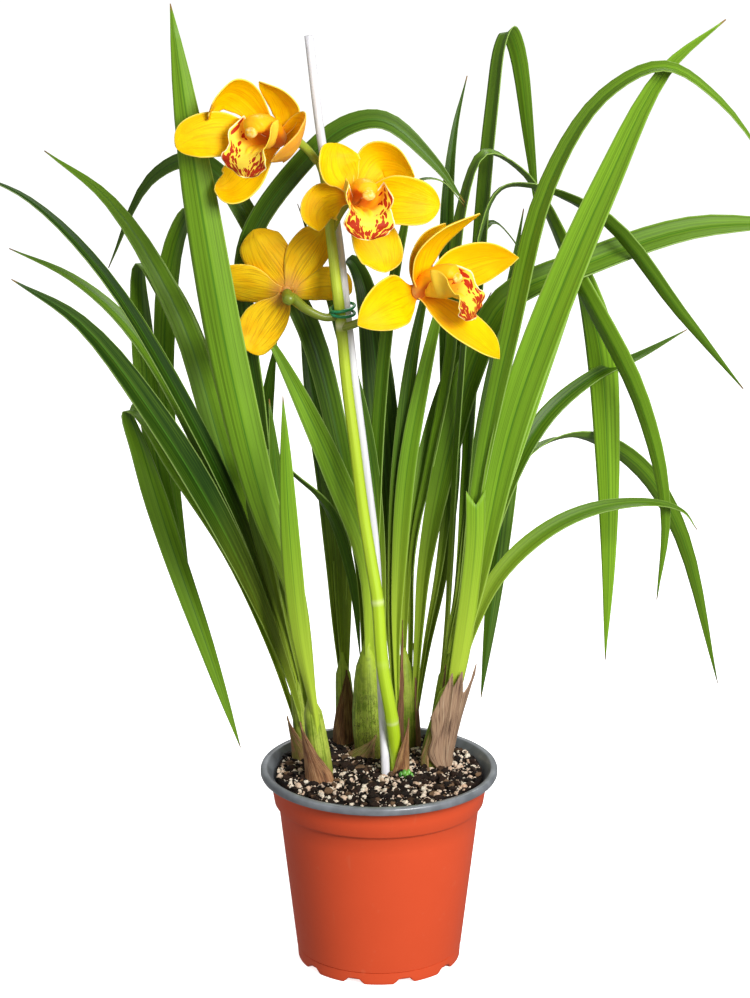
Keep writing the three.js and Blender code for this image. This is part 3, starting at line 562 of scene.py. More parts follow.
# Leafy shoots. A leaf is its foot, the compass way it goes, its width, its tint from shaded to bright, the
# roll of its blade, and the reach and height of each step of its arch. A notch cuts its end to a V.
shoots = [
    {"name": "shoot_left_front", "foot": (-37, -17), "lean": (-43, -20, 185), "radii": (8, 5), "leaves": [
        (-38, -18, 172, 24, 0.66, 98, (4, 179, 13, 243, 34, 307, 54, 395, 71, 499, 86, 609),
         {"taper": 3.4}),
        (-35, -20, 225, 13, 0.75, 45, (8, 176, 19, 224, 27, 290, 32, 380)),
        (-40, -13, 160, 14, 0.3, -45, (6, 180, 16, 240, 24, 310, 29, 368)),
    ]},
    {"name": "shoot_left_outer", "foot": (-46, 22), "lean": (-52, 24, 185), "radii": (8.5, 6), "leaves": [
        (-48, 19, 195, 13, 0.12, -52, (4, 160, 14, 206, 36, 278, 73, 362, 122, 448, 165, 495, 198, 513)),
        (-47, 18, 205, 20, 0.15, -70, (4, 155, 15, 192, 50, 277, 95, 358, 144, 425, 186, 455)),
        (-49, 23, 178, 14, 0.4, -48, (5, 170, 14, 217, 37, 269, 71, 350, 107, 408, 140, 437, 178, 455)),
        (-47, 25, 162, 18, 0.55, -55, (6, 170, 21, 227, 53, 319, 80, 405, 126, 477, 170, 507)),
        (-45, 26, 152, 18, 0.6, ((0, -55), (0.5, -50), (0.62, 0), (0.75, 52), (1, 60)), (8, 170, 27, 225,
         58, 314, 82, 386, 103, 422, 118, 436, 119, 392, 110, 307, 85, 216), {"taper": 3}),
        (-48, 24, 160, 17, 0.75, ((0, -50), (0.42, -50), (0.53, 0), (0.65, 45), (1, 50)), (8, 155, 24, 200,
         50, 257, 83, 307, 109, 342, 118, 344, 110, 318, 90, 256, 67, 192, 44, 125), {"taper": 3}),
        (-45, 26, 138, 17, 0.6, ((0, -45), (0.48, -45), (0.58, 0), (0.7, 40), (1, 48)), (10, 180, 34, 246,
         58, 336, 78, 428, 95, 470, 114, 444, 126, 374, 122, 302, 104, 202)),
        (-43, 25, 358, 15, 0.3, ((0, 45), (0.6, 60), (1, 70)), (-8, 180, -22, 257, -32, 355, -40, 424,
         -36, 461, -12, 499, 22, 531, 46, 535, 75, 511, 95, 485), {"taper": 5}),
        (-43, 25, 30, 12, 0.35, ((0, 40), (0.5, 30), (0.65, 0), (0.8, -40), (1, -50)), (-10, 180, -28, 247,
         -40, 306, -31, 329, -9, 311, 14, 286, 30, 238, 36, 184)),
        (-43, 25, 300, 15, 0.25, -20, (-14, 180, -37, 246, -60, 322, -52, 362, -42, 392)),
    ]},
    {"name": "shoot_left_back", "foot": (-21, 49), "lean": (-24, 54, 185), "radii": (7.5, 4.5), "leaves": [
        (-20, 51, 125, 16, 0.2, -33, (9, 192, 13, 245, 22, 296, 40, 352, 53, 402)),
        (-21, 48, 100, 13, 0.2, -10, (6, 180, 16, 250, 30, 310, 50, 352)),
    ]},
    {"name": "shoot_bulb", "foot": (-8, 27), "lean": (-8, 27, 205), "radii": (11.5, 4.5), "mottle": 1,
     "root": (-6, 26), "girth": ((0, 9.8), (0.15, 10.8), (0.3, 10.7), (0.5, 9.6), (0.75, 7.4), (1, 5.8)),
     "leaves": [
        (-6, 25, 186, 17, 0.65, -78, (0, 180, 1, 255, 22, 314, 39, 354, 60, 397, 70, 413)),
        (-8, 30, 160, 16, 0.3, ((0, -60), (0.7, -50), (1, -60)), (1, 190, 4, 253, 17, 325, 38, 401, 68, 452,
         98, 495, 116, 503, 144, 488, 174, 430), {"taper": 3}),
        (-4, 32, 18, 10, 0.35, ((0, 50), (0.8, 40), (1, 0)), (1, 254, 4, 345, 12, 421, 20, 464, 29, 494,
         44, 494, 60, 477)),
        (0, 30, 165, 9, 0.25, -60, (-2, 200, 0, 268, 8, 336, 22, 390, 38, 442, 52, 480)),
    ]},
    {"name": "shoot_middle", "foot": (17, 47), "lean": (16, 48, 190), "radii": (10, 6), "leaves": [
        (12, 50, 130, 23, 0.2, -35, (4, 190, 8, 247, 12, 300, 22, 376, 35, 425, 48, 436, 64, 408)),
        (10, 44, 40, 11, 0.3, 45, (-2, 200, 0, 249, 4, 310, 13, 376, 25, 422, 34, 452)),
        (13, 41, 20, 12, 0.6, 60, (-2, 200, 0, 251, 5, 311, 15, 366, 28, 418, 40, 449)),
        (16, 50, 42, 9, 0.5, 40, (0, 200, 4, 258, 18, 318, 37, 364, 62, 395, 75, 412)),
        (20, 50, 8.5, 17, 0.6, ((0, 50), (0.2, 28), (0.45, 18), (0.58, -8), (0.75, -50), (1, -65)), (1, 200,
         2, 252, 14, 315, 26, 385, 31, 468, 46, 509, 71, 495, 107, 427, 148, 347, 166, 274, 162, 214),
         {"taper": 3}),
        (22, 42, 11, 20, 0.5, ((0, 60), (1, 42)), (4, 203, 8, 250, 22, 322, 36, 373, 58, 417, 110, 439,
         177, 458, 249, 459), {"taper": 6}),
        (22, 52, 60, 13, 0.2, 25, (18, 180, 38, 226, 50, 290, 46, 367, 42, 469, 51, 517, 67, 549)),
        (22, 53, 45, 8, 0.25, 30, (12, 190, 25, 242, 38, 333, 50, 429, 69, 457, 91, 442, 108, 416)),
    ]},
    {"name": "shoot_right_front", "foot": (36, 9), "lean": (48, 12, 185), "radii": (9.5, 6.5), "leaves": [
        (40, 8, 340, 12.5, 0.8, -60, (7, 170, 13, 206, 18, 245, 21, 279, 21, 304), {"base": 0.7,
         "notch": 9}),
        (38, 14, 348, 14.5, 0.55, ((0, 85), (0.6, 65), (0.85, 35), (1, 10)), (6, 180, 15, 234, 26, 321,
         43, 409, 65, 500, 97, 554, 133, 573, 166, 554, 205, 505)),
        (43, 8, 354, 23, 0.7, ((0, 85), (1, 75)), (7, 190, 18, 244, 36, 339, 57, 407, 94, 501, 127, 569,
         162, 600)),
        (42, 13, 20, 12, 0.45, ((0, 50), (1, 32)), (6, 165, 16, 207, 34, 244, 64, 270, 100, 283, 142, 283,
         163, 275, 173, 262)),
    ]},
    {"name": "shoot_right_back", "foot": (40, 34), "lean": (46, 37, 190), "radii": (8.5, 6), "leaves": [
        (42, 38, 60, 14, 0.45, ((0, -15), (0.6, -22), (0.8, -28), (1, -30)), (1, 181, 17, 228, 27, 292,
         36, 388, 48, 480, 60, 542, 68, 570, 77, 578, 90, 564, 109, 502, 125, 440), {"taper": 3}),
        (34, 34, 8, 15, 0.4, ((0, 20), (0.5, 0), (0.68, -20), (0.8, -50), (0.9, -70), (1, -75)), (8, 190,
         12, 253, 18, 370, 28, 461, 41, 490, 60, 491, 107, 469, 156, 409, 198, 358), {"taper": 3}),
        (43, 34, 32, 13, 0.3, ((0, 50), (1, 36)), (12, 190, 25, 243, 48, 302, 76, 338, 113, 359, 146, 367,
         186, 380)),
        (44, 36, 40, 14, 0.5, ((0, 0), (0.35, -5), (0.5, -30), (0.62, -50), (1, -52)), (12, 180, 32, 246,
         56, 302, 87, 316, 126, 311, 174, 279, 211, 226, 250, 113)),
        (41, 38, 60, 18, 0.3, ((0, 30), (0.5, 20), (0.56, 0), (0.65, -28), (1, -30)), (18, 180, 46, 240,
         75, 300, 88, 323, 81, 272, 68, 208, 52, 143)),
        (38, 36, 48, 11, 0.3, 40, (10, 180, 26, 247, 44, 336, 63, 402, 80, 467)),
        (43, 33, 34, 22, 0.85, ((0, 50), (0.46, 48), (0.56, 0), (0.66, -50), (1, -56)), (12, 190, 26, 249,
         56, 337, 85, 411, 98, 433, 109, 411, 120, 374, 127, 306, 130, 231, 129, 162)),
    ]},
]
leafShape = {
    "foot": 128, "thickness": 0.6, "rows": 5, "columns": 10, "fold": (62, 16), "foldEnd": 0.45, "base": 0.32,
    "fill": 0.55, "taper": 0.5, "taperPower": 2.2, "tip": 0.2, "midrib": 0.05, "wave": 0.55,
    "waveSize": 0.035, "waveWidth": 0.012, "waveFrom": 0.2, "notchFrom": 0.9, "notchBlunt": 0.02,
}
stemShape = {"plug": 104, "foot": 120, "collar": 132, "rib": 0.35, "dome": 0.8, "domeFrom": 0.7,
             "sides": 28, "rows": 26, "paintScale": 0.7}


def addLeaf(mesh, seed, x, y, toward, width, tint, turn, arch, taper=leafShape["taperPower"],
            base=leafShape["base"], notch=0):
    shape = leafShape
    toward = math.radians(toward)
    heading = Vector((math.cos(toward), math.sin(toward), 0))
    level = Vector((-heading.y, heading.x, 0))
    steps = zip((0, *arch[::2]), (shape["foot"], *arch[1::2]))
    route = Route([(Vector((x, y, 0)) + heading * reach + up * height) * mm for reach, height in steps])

    def place(s, t):
        share = route.share(t)
        ahead = route.ahead(t)
        roll = math.radians(alongStops(turn, share))
        side = level * math.cos(roll) + ahead.cross(level) * math.sin(roll)
        face = ahead.cross(side)
        beyond = max(0, (share - shape["taper"]) / (1 - shape["taper"]))
        narrowed = 1 if notch else 1 - beyond ** taper
        half = max(shape["tip"], width / 2 * mixed(base, 1, smooth(share / shape["fill"])) * narrowed) * mm
        fold = math.radians(mixed(*shape["fold"], smooth(share / shape["foldEnd"])))
        away = math.sqrt(s * s + shape["midrib"] ** 2) - shape["midrib"] / 2
        spot = route.at(t) + side * (s * half * math.cos(fold))
        spot += face * ((away - 0.5) * half * math.sin(fold))
        wave = ripple((share * route.length, s * shape["waveWidth"], 0), shape["waveSize"], seed)
        spot += face * (wave * shape["wave"] * mm * s * s * smooth(share / shape["waveFrom"]))
        cut = smooth((share - shape["notchFrom"]) / (1 - shape["notchFrom"]))
        return spot + ahead * (notch * mm * (abs(s) - 0.5) * cut)

    blunt = shape["notchBlunt"] if notch else 0  # a cut leaf has no brown tip
    addSheet(mesh, shape["rows"] * (len(arch) // 2), shape["columns"], place, tint=tint,
             along=lambda s, t: route.share(t) * route.length,
             left=lambda s, t: (1 - route.share(t)) * route.length + blunt)


def addStem(mesh, shoot, seed):
    shape = stemShape
    plug, foot, collar = [Vector((*shoot.get("root", shoot["foot"]), height)) * mm
                          for height in (shape["plug"], shape["foot"], shape["collar"])]
    route = Route([plug, foot, collar, Vector(shoot["lean"]) * mm])
    low, high = [radius * mm for radius in shoot["radii"]]

    def reach(angle, t):
        rise = max(0, (route.at(t).z - collar.z) / (shoot["lean"][2] * mm - collar.z))
        ridge = abs(math.sin(math.radians(angle) * 2 + seed)) * shape["rib"] * mm
        girth = alongStops(shoot["girth"], rise, True) * mm if "girth" in shoot else mixed(low, high, rise)
        domed = smooth((rise - shape["domeFrom"]) / (1 - shape["domeFrom"]))
        return (girth - ridge) * (1 - shape["dome"] * domed)

    addTube(mesh, route, reach, shape["sides"], shape["rows"], tint=shoot.get("mottle", 0.3),
            along=lambda s, t: route.share(t) * route.length * shape["paintScale"])


for number, shoot in enumerate(shoots):
    mesh = newMesh("along", "left", "tint")
    for k, row in enumerate(shoot["leaves"]):
        values, extras = parted(row)
        addLeaf(mesh, number * 17 + k, *values, **extras)
    finish(shoot["name"] + "_leaves", mesh, [leafSkin], [shoot["name"]], leafShape["thickness"] * mm)
    mesh = newMesh("along", "tint")
    addStem(mesh, shoot, number)
    finish(shoot["name"] + "_stem", mesh, [stemSkin], ())
print("leafy shoots made")

# Dry bracts. Each has its stem, its age, the compass way of its middle at foot and tip, how far round it
# spans, its height, how far its tip stands off and how late it narrows. A sheath has no solid of its own.
spikeFoot = {"foot": (12, -5), "lean": (8, -14, 164), "radii": (5.6,)}
bracts = [
    ("bract_left_front", shoots[0], 0.15, (272, 205), 185, 46, 2, 0.95, {"rose": 0.3}),
    ("bract_left_outer", shoots[1], 0.1, (270, 200), 150, 34, 2, 1.1, {"rose": 0.5, "fresh": 0.4}),
    ("bract_left_back", shoots[2], 0.0, (265, 290), 190, 56, 1, 1.2, {"dark": 0.6}),
    ("bract_bulb", shoots[3], 0.3, (215, 300), 150, 22, 0.5, 1, {"fresh": 0.5}),
    ("bract_right_front", shoots[5], 0.8, (324, 286), 150, 75, 5, 3, {"tips": ((-1, 0.56), (-0.75, 0.74),
     (-0.5, 0.99), (-0.3, 0.84), (-0.02, 0.97), (0.25, 0.78), (0.6, 0.88), (0.86, 1.02), (1, 0.9)),
     "waist": 0.42, "gape": 0.8, "rose": 0.2}),
    ("bract_right_inner", shoots[5], 0.5, (72, 80), 86, 40, 4, 1.6),
    ("bract_spike", spikeFoot, 0.1, (300, 350), 160, 46, 4, 1.1),
    ("sheath_middle_left", shoots[4], 0.2, (250, 262), 26, 92, -2, 2, {"rose": 0.6}),
    ("sheath_middle_right", shoots[4], 0.3, (318, 330), 24, 76, 0, 2, {"rose": 0.5}),
    ("sheath_right_back", shoots[6], 0.4, (262, 250), 34, 66, 1, 1.6, {"rose": 0.3}),
    ("sheath_right_front", shoots[5], 0.3, (225, 238), 40, 58, 2, 1.4, {"fresh": 0.5}),
]
bractShape = {"bottom": 120, "collar": 132, "thickness": 0.45, "stand": 1.25, "tear": 2.6, "tearFrom": 0.45,
              "trim": 0.97, "crinkle": 0.35, "waistEnd": 0.45, "edge": 4, "rows": 30, "columns": 34}


def addBract(mesh, seed, stem, age, facing, span, height, flare, slope, tips=1, waist=1, gape=0.05, **marks):
    shape = bractShape
    foot, lean = Vector((*stem["foot"][:2], shape["collar"])), Vector(stem["lean"])

    def place(s, t):
        ragged = ripple((s * 14, seed * 5, 3), 3, seed) * shape["tear"] * smooth((t - shape["tearFrom"]) * 2)
        z = shape["bottom"] + t * height * alongStops(tips, s) * shape["trim"] + ragged
        rise = max(0, (z - shape["collar"]) / (lean.z - shape["collar"]))
        crinkle = ripple((s * 20, t * 5, 0), 2.2, seed) * shape["crinkle"]
        girth = mixed(stem["radii"][0], stem["radii"][-1], rise)
        reach = girth + shape["stand"] + flare * t * t + crinkle * min(1, t * 3)
        half = span / 2 * max(gape, 1 - t ** slope) * mixed(waist, 1, smooth(t / shape["waistEnd"]))
        half += ripple((t * 30, s, 1), 4, seed + 5) * shape["edge"] * abs(s) * smooth(t * 2)
        angle = math.radians(mixed(*facing, t) + s * half)
        centre = foot.lerp(lean, rise)
        return Vector((centre.x + reach * math.cos(angle), centre.y + reach * math.sin(angle), z)) * mm

    addSheet(mesh, shape["rows"], shape["columns"], place, age=age, **marks)


for number, row in enumerate(bracts):
    (name, *values), extras = parted(row)
    mesh = newMesh("age", "rose", "fresh", "dark")
    addBract(mesh, number + 3, *values, **extras)
    finish(name + "_husk", mesh, [bractSkin], [name] if name.startswith("bract") else (),
           bractShape["thickness"] * mm)
print("dry bracts made")

# A cluster of green buds at the spike's foot: place and size of each
buds = {"point": 0.45, "stretch": 1.35, "places": [
    (16, -16, 128.5, 2.1), (18.6, -15, 128.6, 1.9), (13.8, -16.5, 128, 1.6), (17.5, -18, 127.6, 1.7),
    (20.4, -16.4, 127.6, 1.4),
]}
mesh = newMesh()
for *place, size in buds["places"]:
    for vert in bmesh.ops.create_icosphere(mesh, subdivisions=3, radius=1)["verts"]:
        x, y, z = vert.co
        narrowed = 1 - buds["point"] * max(0, z)
        vert.co = (Vector(place) + Vector((x * narrowed, y * narrowed, z * buds["stretch"])) * size) * mm
finish("green_buds", mesh, [budSkin], ())

# Flower spike, stake and tie
spike = {
    "path": [
        (12, -5, 104), (12, -5, 126), (10, -10, 146), (8, -14, 164), (2, -17, 202), (-1, -13, 241),
        (-5, -10, 266), (-10, -7, 298), (-15, -5, 339), (-20, -4, 380), (-24, -4, 424), (-26, -3, 440),
        (-29, -2, 468), (-33, -2, 506), (-36, -2, 515),
    ],
    "radii": (4.4, 2.9), "rings": (164, 202, 241, 413), "ringHeight": 1.6, "ringRise": 0.25,
    "paleHeight": 0.9, "pale": 0.8, "rib": 0.12, "ribs": 7, "footRadius": 5.6, "footFrom": 124,
    "footHeight": 14.4, "sides": 28, "rows": 170,
}
stake = {
    "path": [
        (4, -10, 104), (4, -10, 130), (2, -4, 170), (0, 0, 215), (-2, 3, 267), (-8, 4, 320), (-15, 4, 378),
        (-20, 5, 423), (-25, 6, 468), (-35, 7, 528), (-42, 9, 588),
    ],
    "radius": 2.7,
}
tie = {"height": 423, "tube": 1, "gap": 0.2, "flatness": 0.7, "strands": (-1.8, 1.6), "sway": 0.9,
       "steps": 24, "slip": 0.004}
columnShape = {"back": 2.4, "length": 30, "rise": 5, "sides": 32, "rows": 40, "cap": (4, 2.88, 3.28),
               "capDrop": 1.4, "capBack": 0.2, "wings": 0.9, "hollow": 0.45,
               "girth": ((0, 3.2), (0.25, 4.6), (0.6, 5.6), (0.88, 5.3), (1, 3.2))}
ovary = {"gap": 0.5, "length": 5, "radii": (2.5, 3.7), "rib": 0.35}


def metres(points):
    return [Vector(point) * mm for point in points]


def bloomFrame(bloom):  # the way a bloom faces, and a function from right, up and forward to a point
    heart = Vector(bloom["heart"]) * mm
    ahead = Vector(bloom["facing"]).normalized()
    right = Matrix.Rotation(math.radians(bloom["tilt"]), 3, ahead) @ up.cross(ahead).normalized()
    rise = ahead.cross(right)

    def at(sideways, high, forward):
        return heart + (right * sideways + rise * high + ahead * forward) * mm

    return ahead, at


# A bloom's tepal is its width and the steps of its spine from the heart: right, back and up for each.
blooms = [
    {"name": "bloom_top", "heart": (-60, -13, 530), "facing": (-0.5, -0.82, 0.24), "tilt": 0, "hood": 1.3,
     "olive": 0.5, "stalk": ((-37, -2, 514), (-43, -4, 522), (-50, -8, 528)), "tepals": [
        (27, (-3, -1, 1, -20, -6, 2, -37, -10, 4, -50, -12, 2, -60, -13, -3)),
        (24, (-2, 1, 3, -10, 6, 12, -20, 6, 23, -29, 1, 28, -37, -8, 23, -41, -12, 13), {"sharp": 0.8,
         "stain": (0.62, 0.9)}),
        (21, (2, 1, 2, 6, 4, 8, 6, 6, 16, 0, 4, 25, -11, 0, 34), {"twist": -15, "sharp": 0.75}),
        (33, (2, 1, 1, 8, 0, 2, 13, -8, 1, 10, -20, -4, -4, -28, -9), {"blush": (0.3, 0.8), "sharp": 0.85}),
        (27, (-1, 1, -3, -10, 2, -12, -21, -1, -24, -29, -3, -30, -38, -5, -30)),
    ]},
    {"name": "bloom_right_of_spike", "heart": (-16, -18, 495), "facing": (0.33, -0.92, 0.22), "tilt": -8,
     "hood": 1, "olive": 0.4, "stalk": ((-29, -2, 472), (-24, -1, 482), (-18, -4, 492)), "tepals": [
        (27, (0, 1, 3, -4, 2, 11, -8, 1, 19, -9, 2, 26, -9, 6, 32)),
        (25, (2, 1, 2, 7, 7, 12, 15, 10, 21, 26, 5, 21, 37, -5, 14), {"sharp": 0.85}),
        (29, (3, 1, 0, 14, -2, 0, 27, -6, 0, 41, -6, -2, 52, -2, -4), {"sharp": 0.65}),
        (29, (1, 1, -3, 6, 2, -14, 13, 2, -27, 18, 0, -37, 20, -4, -44)),
        (25, (-3, 1, 0, -9, 3, -1, -16, 4, -4, -21, 1, -10, -20, -5, -19), {"sharp": 0.85}),
    ]},
    {"name": "bloom_left_of_spike", "heart": (-56, 2, 433), "facing": (-0.15, 0.94, 0.3), "tilt": 0,
     "hood": 0.62, "olive": 1, "stalk": ((-25, -4, 420), (-33, -7, 420), (-44, -7, 425), (-53, -2, 431)),
     "tepals": [
        (29, (0, 1, 3, -4, 4, 10, -12, 6, 21, -18, 9, 31, -20, 15, 36)),
        (26, (2, 1, 2, 6, 4, 12, 13, 6, 23, 20, 6, 33, 24, 4, 41), {"sharp": 0.75}),
        (26, (-3, 1, 0, -12, 4, 1, -24, 6, 3, -35, 8, 4, -45, 12, 4)),
        (29, (-1, 1, -2, -6, 4, -10, -14, 5, -21, -20, 3, -30, -24, -1, -36)),
        (25, (3, 2, 0, 11, 10, 0, 21, 15, 1, 31, 17, 0, 39, 16, -3)),
    ]},
    {"name": "bloom_right", "heart": (23, -14, 437), "facing": (0.8, -0.48, 0.38), "tilt": 0, "hood": 1.1,
     "olive": 0.7, "stalk": ((-22, -5, 413), (-13, -9, 417), (0, -13, 424), (15, -14, 432)), "tepals": [
        (34, (1, 0, 3, 0, -1, 13, 4, -2, 27, 17, -4, 40, 37, -6, 49), {"sharp": 1}),
        (27, (3, 1, 2, 13, 6, 7, 27, 10, 13, 44, 10, 18, 61, 6, 20), {"sharp": 1}),
        (31, (2, 0, -2, 11, -2, -9, 23, -6, -18, 37, -11, -28, 49, -17, -37), {"sharp": 0.85}),
        (31, (-2, 0, 0, -7, -6, -1, -14, -16, -2, -24, -26, -6, -36, -32, -13), {"sharp": 0.9}),
        (20, (-1, 2, 2, -2, 6, 11, 1, 10, 22, 8, 11, 32, 17, 11, 40), {"sharp": 0.8}),
    ]},
]


def addSpike(mesh):
    route = Route(metres(spike["path"]), 120)
    low, high = spike["radii"]

    def ringed(t, height):  # 1 at the spike's joints
        return max(bump(route.at(t).z / mm, ring, height) for ring in spike["rings"])

    def reach(angle, t):
        bare = (route.at(t).z / mm - spike["footFrom"]) / spike["footHeight"]
        foot = (spike["footRadius"] - low) * smooth(1 - bare)
        ridge = spike["rib"] * math.sin(math.radians(angle) * spike["ribs"])
        return (mixed(low, high, t) + ringed(t, spike["ringHeight"]) * spike["ringRise"] + foot + ridge) * mm

    addTube(mesh, route, reach, spike["sides"], spike["rows"], tint=0,
            along=lambda s, t: route.share(t) * route.length,
            ring=lambda s, t: spike["pale"] * ringed(t, spike["paleHeight"]))


def addStalk(mesh, bloom):  # the flower's stalk, which thickens into its ribbed ovary
    _, at = bloomFrame(bloom)
    back = columnShape["back"] + ovary["gap"] + ovary["length"]
    route = Route(metres(bloom["stalk"]) + [at(0, 0, -back), at(0, 0, -1)])

    def reach(angle, t):
        rib = abs(math.sin(math.radians(angle) * 1.5)) * ovary["rib"] * smooth(t * 1.5)
        return (mixed(*ovary["radii"], smooth((t - 0.2) / 0.5)) - rib) * mm

    addTube(mesh, route, reach, 20, 40, along=0.4, ring=0, tint=bloom["olive"])


mesh = newMesh("along", "ring", "tint")
addSpike(mesh)
for bloom in blooms:
    addStalk(mesh, bloom)
finish("spike_and_stalks", mesh, [spikeSkin], ["flower_spike"])

mesh = newMesh()
addTube(mesh, Route(metres(stake["path"]), 80), stake["radius"] * mm, 24, 90)
finish("support_stake", mesh, [whitePlastic], ["stake"])

tieMiddle = Vector(spike["path"][10]), Vector(stake["path"][7])


def addStrand(mesh, drop, number):  # one flat loop of the tie round spike and stake
    spikeCentre, stakeCentre = [point.copy() for point in tieMiddle]
    spikeCentre.z = stakeCentre.z = tie["height"]
    across = stakeCentre - spikeCentre
    reach = (across.length + spike["radii"][0] + stake["radius"]) / 2 + tie["tube"] + tie["gap"]
    middle = (spikeCentre + stakeCentre + across.normalized() * (stake["radius"] - spike["radii"][0])) / 2
    middle.z += drop
    turn = Matrix.Rotation(math.atan2(across.y, across.x), 3, "Z")
    points = []
    for i in range(tie["steps"] + 1):
        angle = 2 * math.pi * i / tie["steps"] * (1 - tie["slip"] * number)
        spot = Vector((reach * math.cos(angle), reach * tie["flatness"] * math.sin(angle),
                       math.sin(angle + number * 2) * tie["sway"]))
        points.append(middle + turn @ spot)
    addTube(mesh, Route(metres(points), 120), tie["tube"] * mm, 10, 96)


mesh = newMesh()
for number, drop in enumerate(tie["strands"]):
    addStrand(mesh, drop, number)
finish("wire_tie", mesh, [tiePlastic], ["tie"])
print("spike, stalks, stake and tie made")

# Blooms: five tepals, a column with its pale cap, and a lip
tepalShape = {
    "thickness": 0.7, "rows": 30, "columns": 18, "foot": 0.3, "widest": 0.5, "blunt": 2.6, "sharp": 0.6,
    "cup": 0.22, "wave": 0.7, "waveSize": 9, "groove": 0.35, "grooveWidth": 0.12, "tip": 0.15,
    "ageStep": 0.137,
}
lipShape = {
    "start": 6, "below": 4.1, "length": 34, "drop": 26, "width": 32, "thickness": 0.55, "rows": 54,
    "columns": 44, "round": 0.76, "ruffle": 1.3, "frill": 0.9, "frills": 46, "frillFrom": 0.5,
    "widths": ((0, 0.35), (0.14, 0.8), (0.36, 1.4), (0.5, 1.24), (0.62, 0.88), (0.75, 0.98), (1, 0.86)),
    "folds": ((0, 60), (0.4, 58), (0.62, 26), (0.85, -4), (1, -16)),
    "ridgeHeight": 1.7, "ridgeOff": 0.13, "ridgeWidth": 0.055, "ridgeEnd": 0.66, "ageStep": 0.31,
}


def addTepal(mesh, bloom, seed, width, spine, sharp=tepalShape["sharp"], twist=0, stain=(0, 0), blush=(0, 0)):
    shape = tepalShape
    ahead, _ = bloomFrame(bloom)
    heart = Vector(bloom["heart"])
    route = Route([(heart + Vector(spine[i:i + 3])) * mm for i in range(0, len(spine), 3)])
    faceAt = route.faces(ahead)

    def place(s, t):
        t = 1 - (1 - t) ** 1.5
        face, onward = faceAt(t), route.ahead(t)
        face = Matrix.Rotation(math.radians(twist) * smooth(t / 0.5), 3, onward) @ face
        side = face.cross(onward).normalized()
        past = max(0, (t - 0.5) / 0.5)
        outline = max(0, 1 - past ** shape["blunt"]) ** sharp
        half = width * mm / 2 * mixed(shape["foot"], 1, smooth(t / shape["widest"])) * outline
        half = max(half, shape["tip"] * mm)
        wave = ripple((t * 45, s * 6, 0), shape["waveSize"], seed) * shape["wave"] * mm
        spot = route.at(t) - side * (s * half)
        spot += face * (shape["cup"] * half * s * s + wave * (0.25 + s * s) * smooth(t * 4))
        groove = shape["groove"] * bump(s, 0, shape["grooveWidth"]) * smooth(t * 5) * smooth((1 - t) * 5)
        return spot - face * (groove * mm)

    def late(start, strength):  # a mark that comes in past a share of the tepal
        return lambda s, t: strength * smooth((t - start) / 0.2)

    addSheet(mesh, shape["rows"], shape["columns"], place, age=seed * shape["ageStep"] % 1,
             stain=late(*stain), blush=late(*blush))


def addColumn(mesh, at, hood):
    shape = columnShape
    rise, length = shape["rise"], shape["length"]
    path = [(0, -shape["back"]), (0, 0), (rise, 0.4 * length), (rise, 0.8 * length), (0.4 * rise, length)]
    route = Route([at(0, high, forward) for high, forward in path])
    upward = (at(0, 1, 0) - at(0, 0, 0)).normalized()

    def reach(angle, t):
        wings = abs(math.cos(math.radians(angle))) ** 1.5 * smooth((t - 0.35) / 0.4) * shape["wings"]
        hollow = max(0, -math.sin(math.radians(angle))) * shape["hollow"] * smooth((t - 0.2) / 0.3)
        girth = alongStops(shape["girth"], t, True) * mixed(1, hood, smooth(t / 0.3))
        return (girth * (1 - hollow) + wings) * mm

    addTube(mesh, route, reach, shape["sides"], shape["rows"], start=upward,
            under=lambda s, t: smooth(-s * 6) * smooth((1 + s) * 6) * smooth((t - 0.15) / 0.2))


def addCap(mesh, at, upward, ahead):  # the anther cap, a small two-lobed dome on the column's tip
    shape = columnShape
    wide, deep, tall = shape["cap"]
    centre = at(0, 0.4 * shape["rise"] - shape["capDrop"], shape["length"] - shape["capBack"])
    right = upward.cross(ahead)
    for vert in bmesh.ops.create_icosphere(mesh, subdivisions=4, radius=1)["verts"]:
        x, y, z = vert.co
        cleft = 1 - 0.16 * bump(x, 0, 0.22) * smooth(y + 0.6)
        beak = 1 + 0.25 * bump(x, 0, 0.3) * bump(z, -0.6, 0.5)
        vert.co = centre + (right * x * wide + ahead * y * deep * cleft * beak + upward * z * tall) * mm


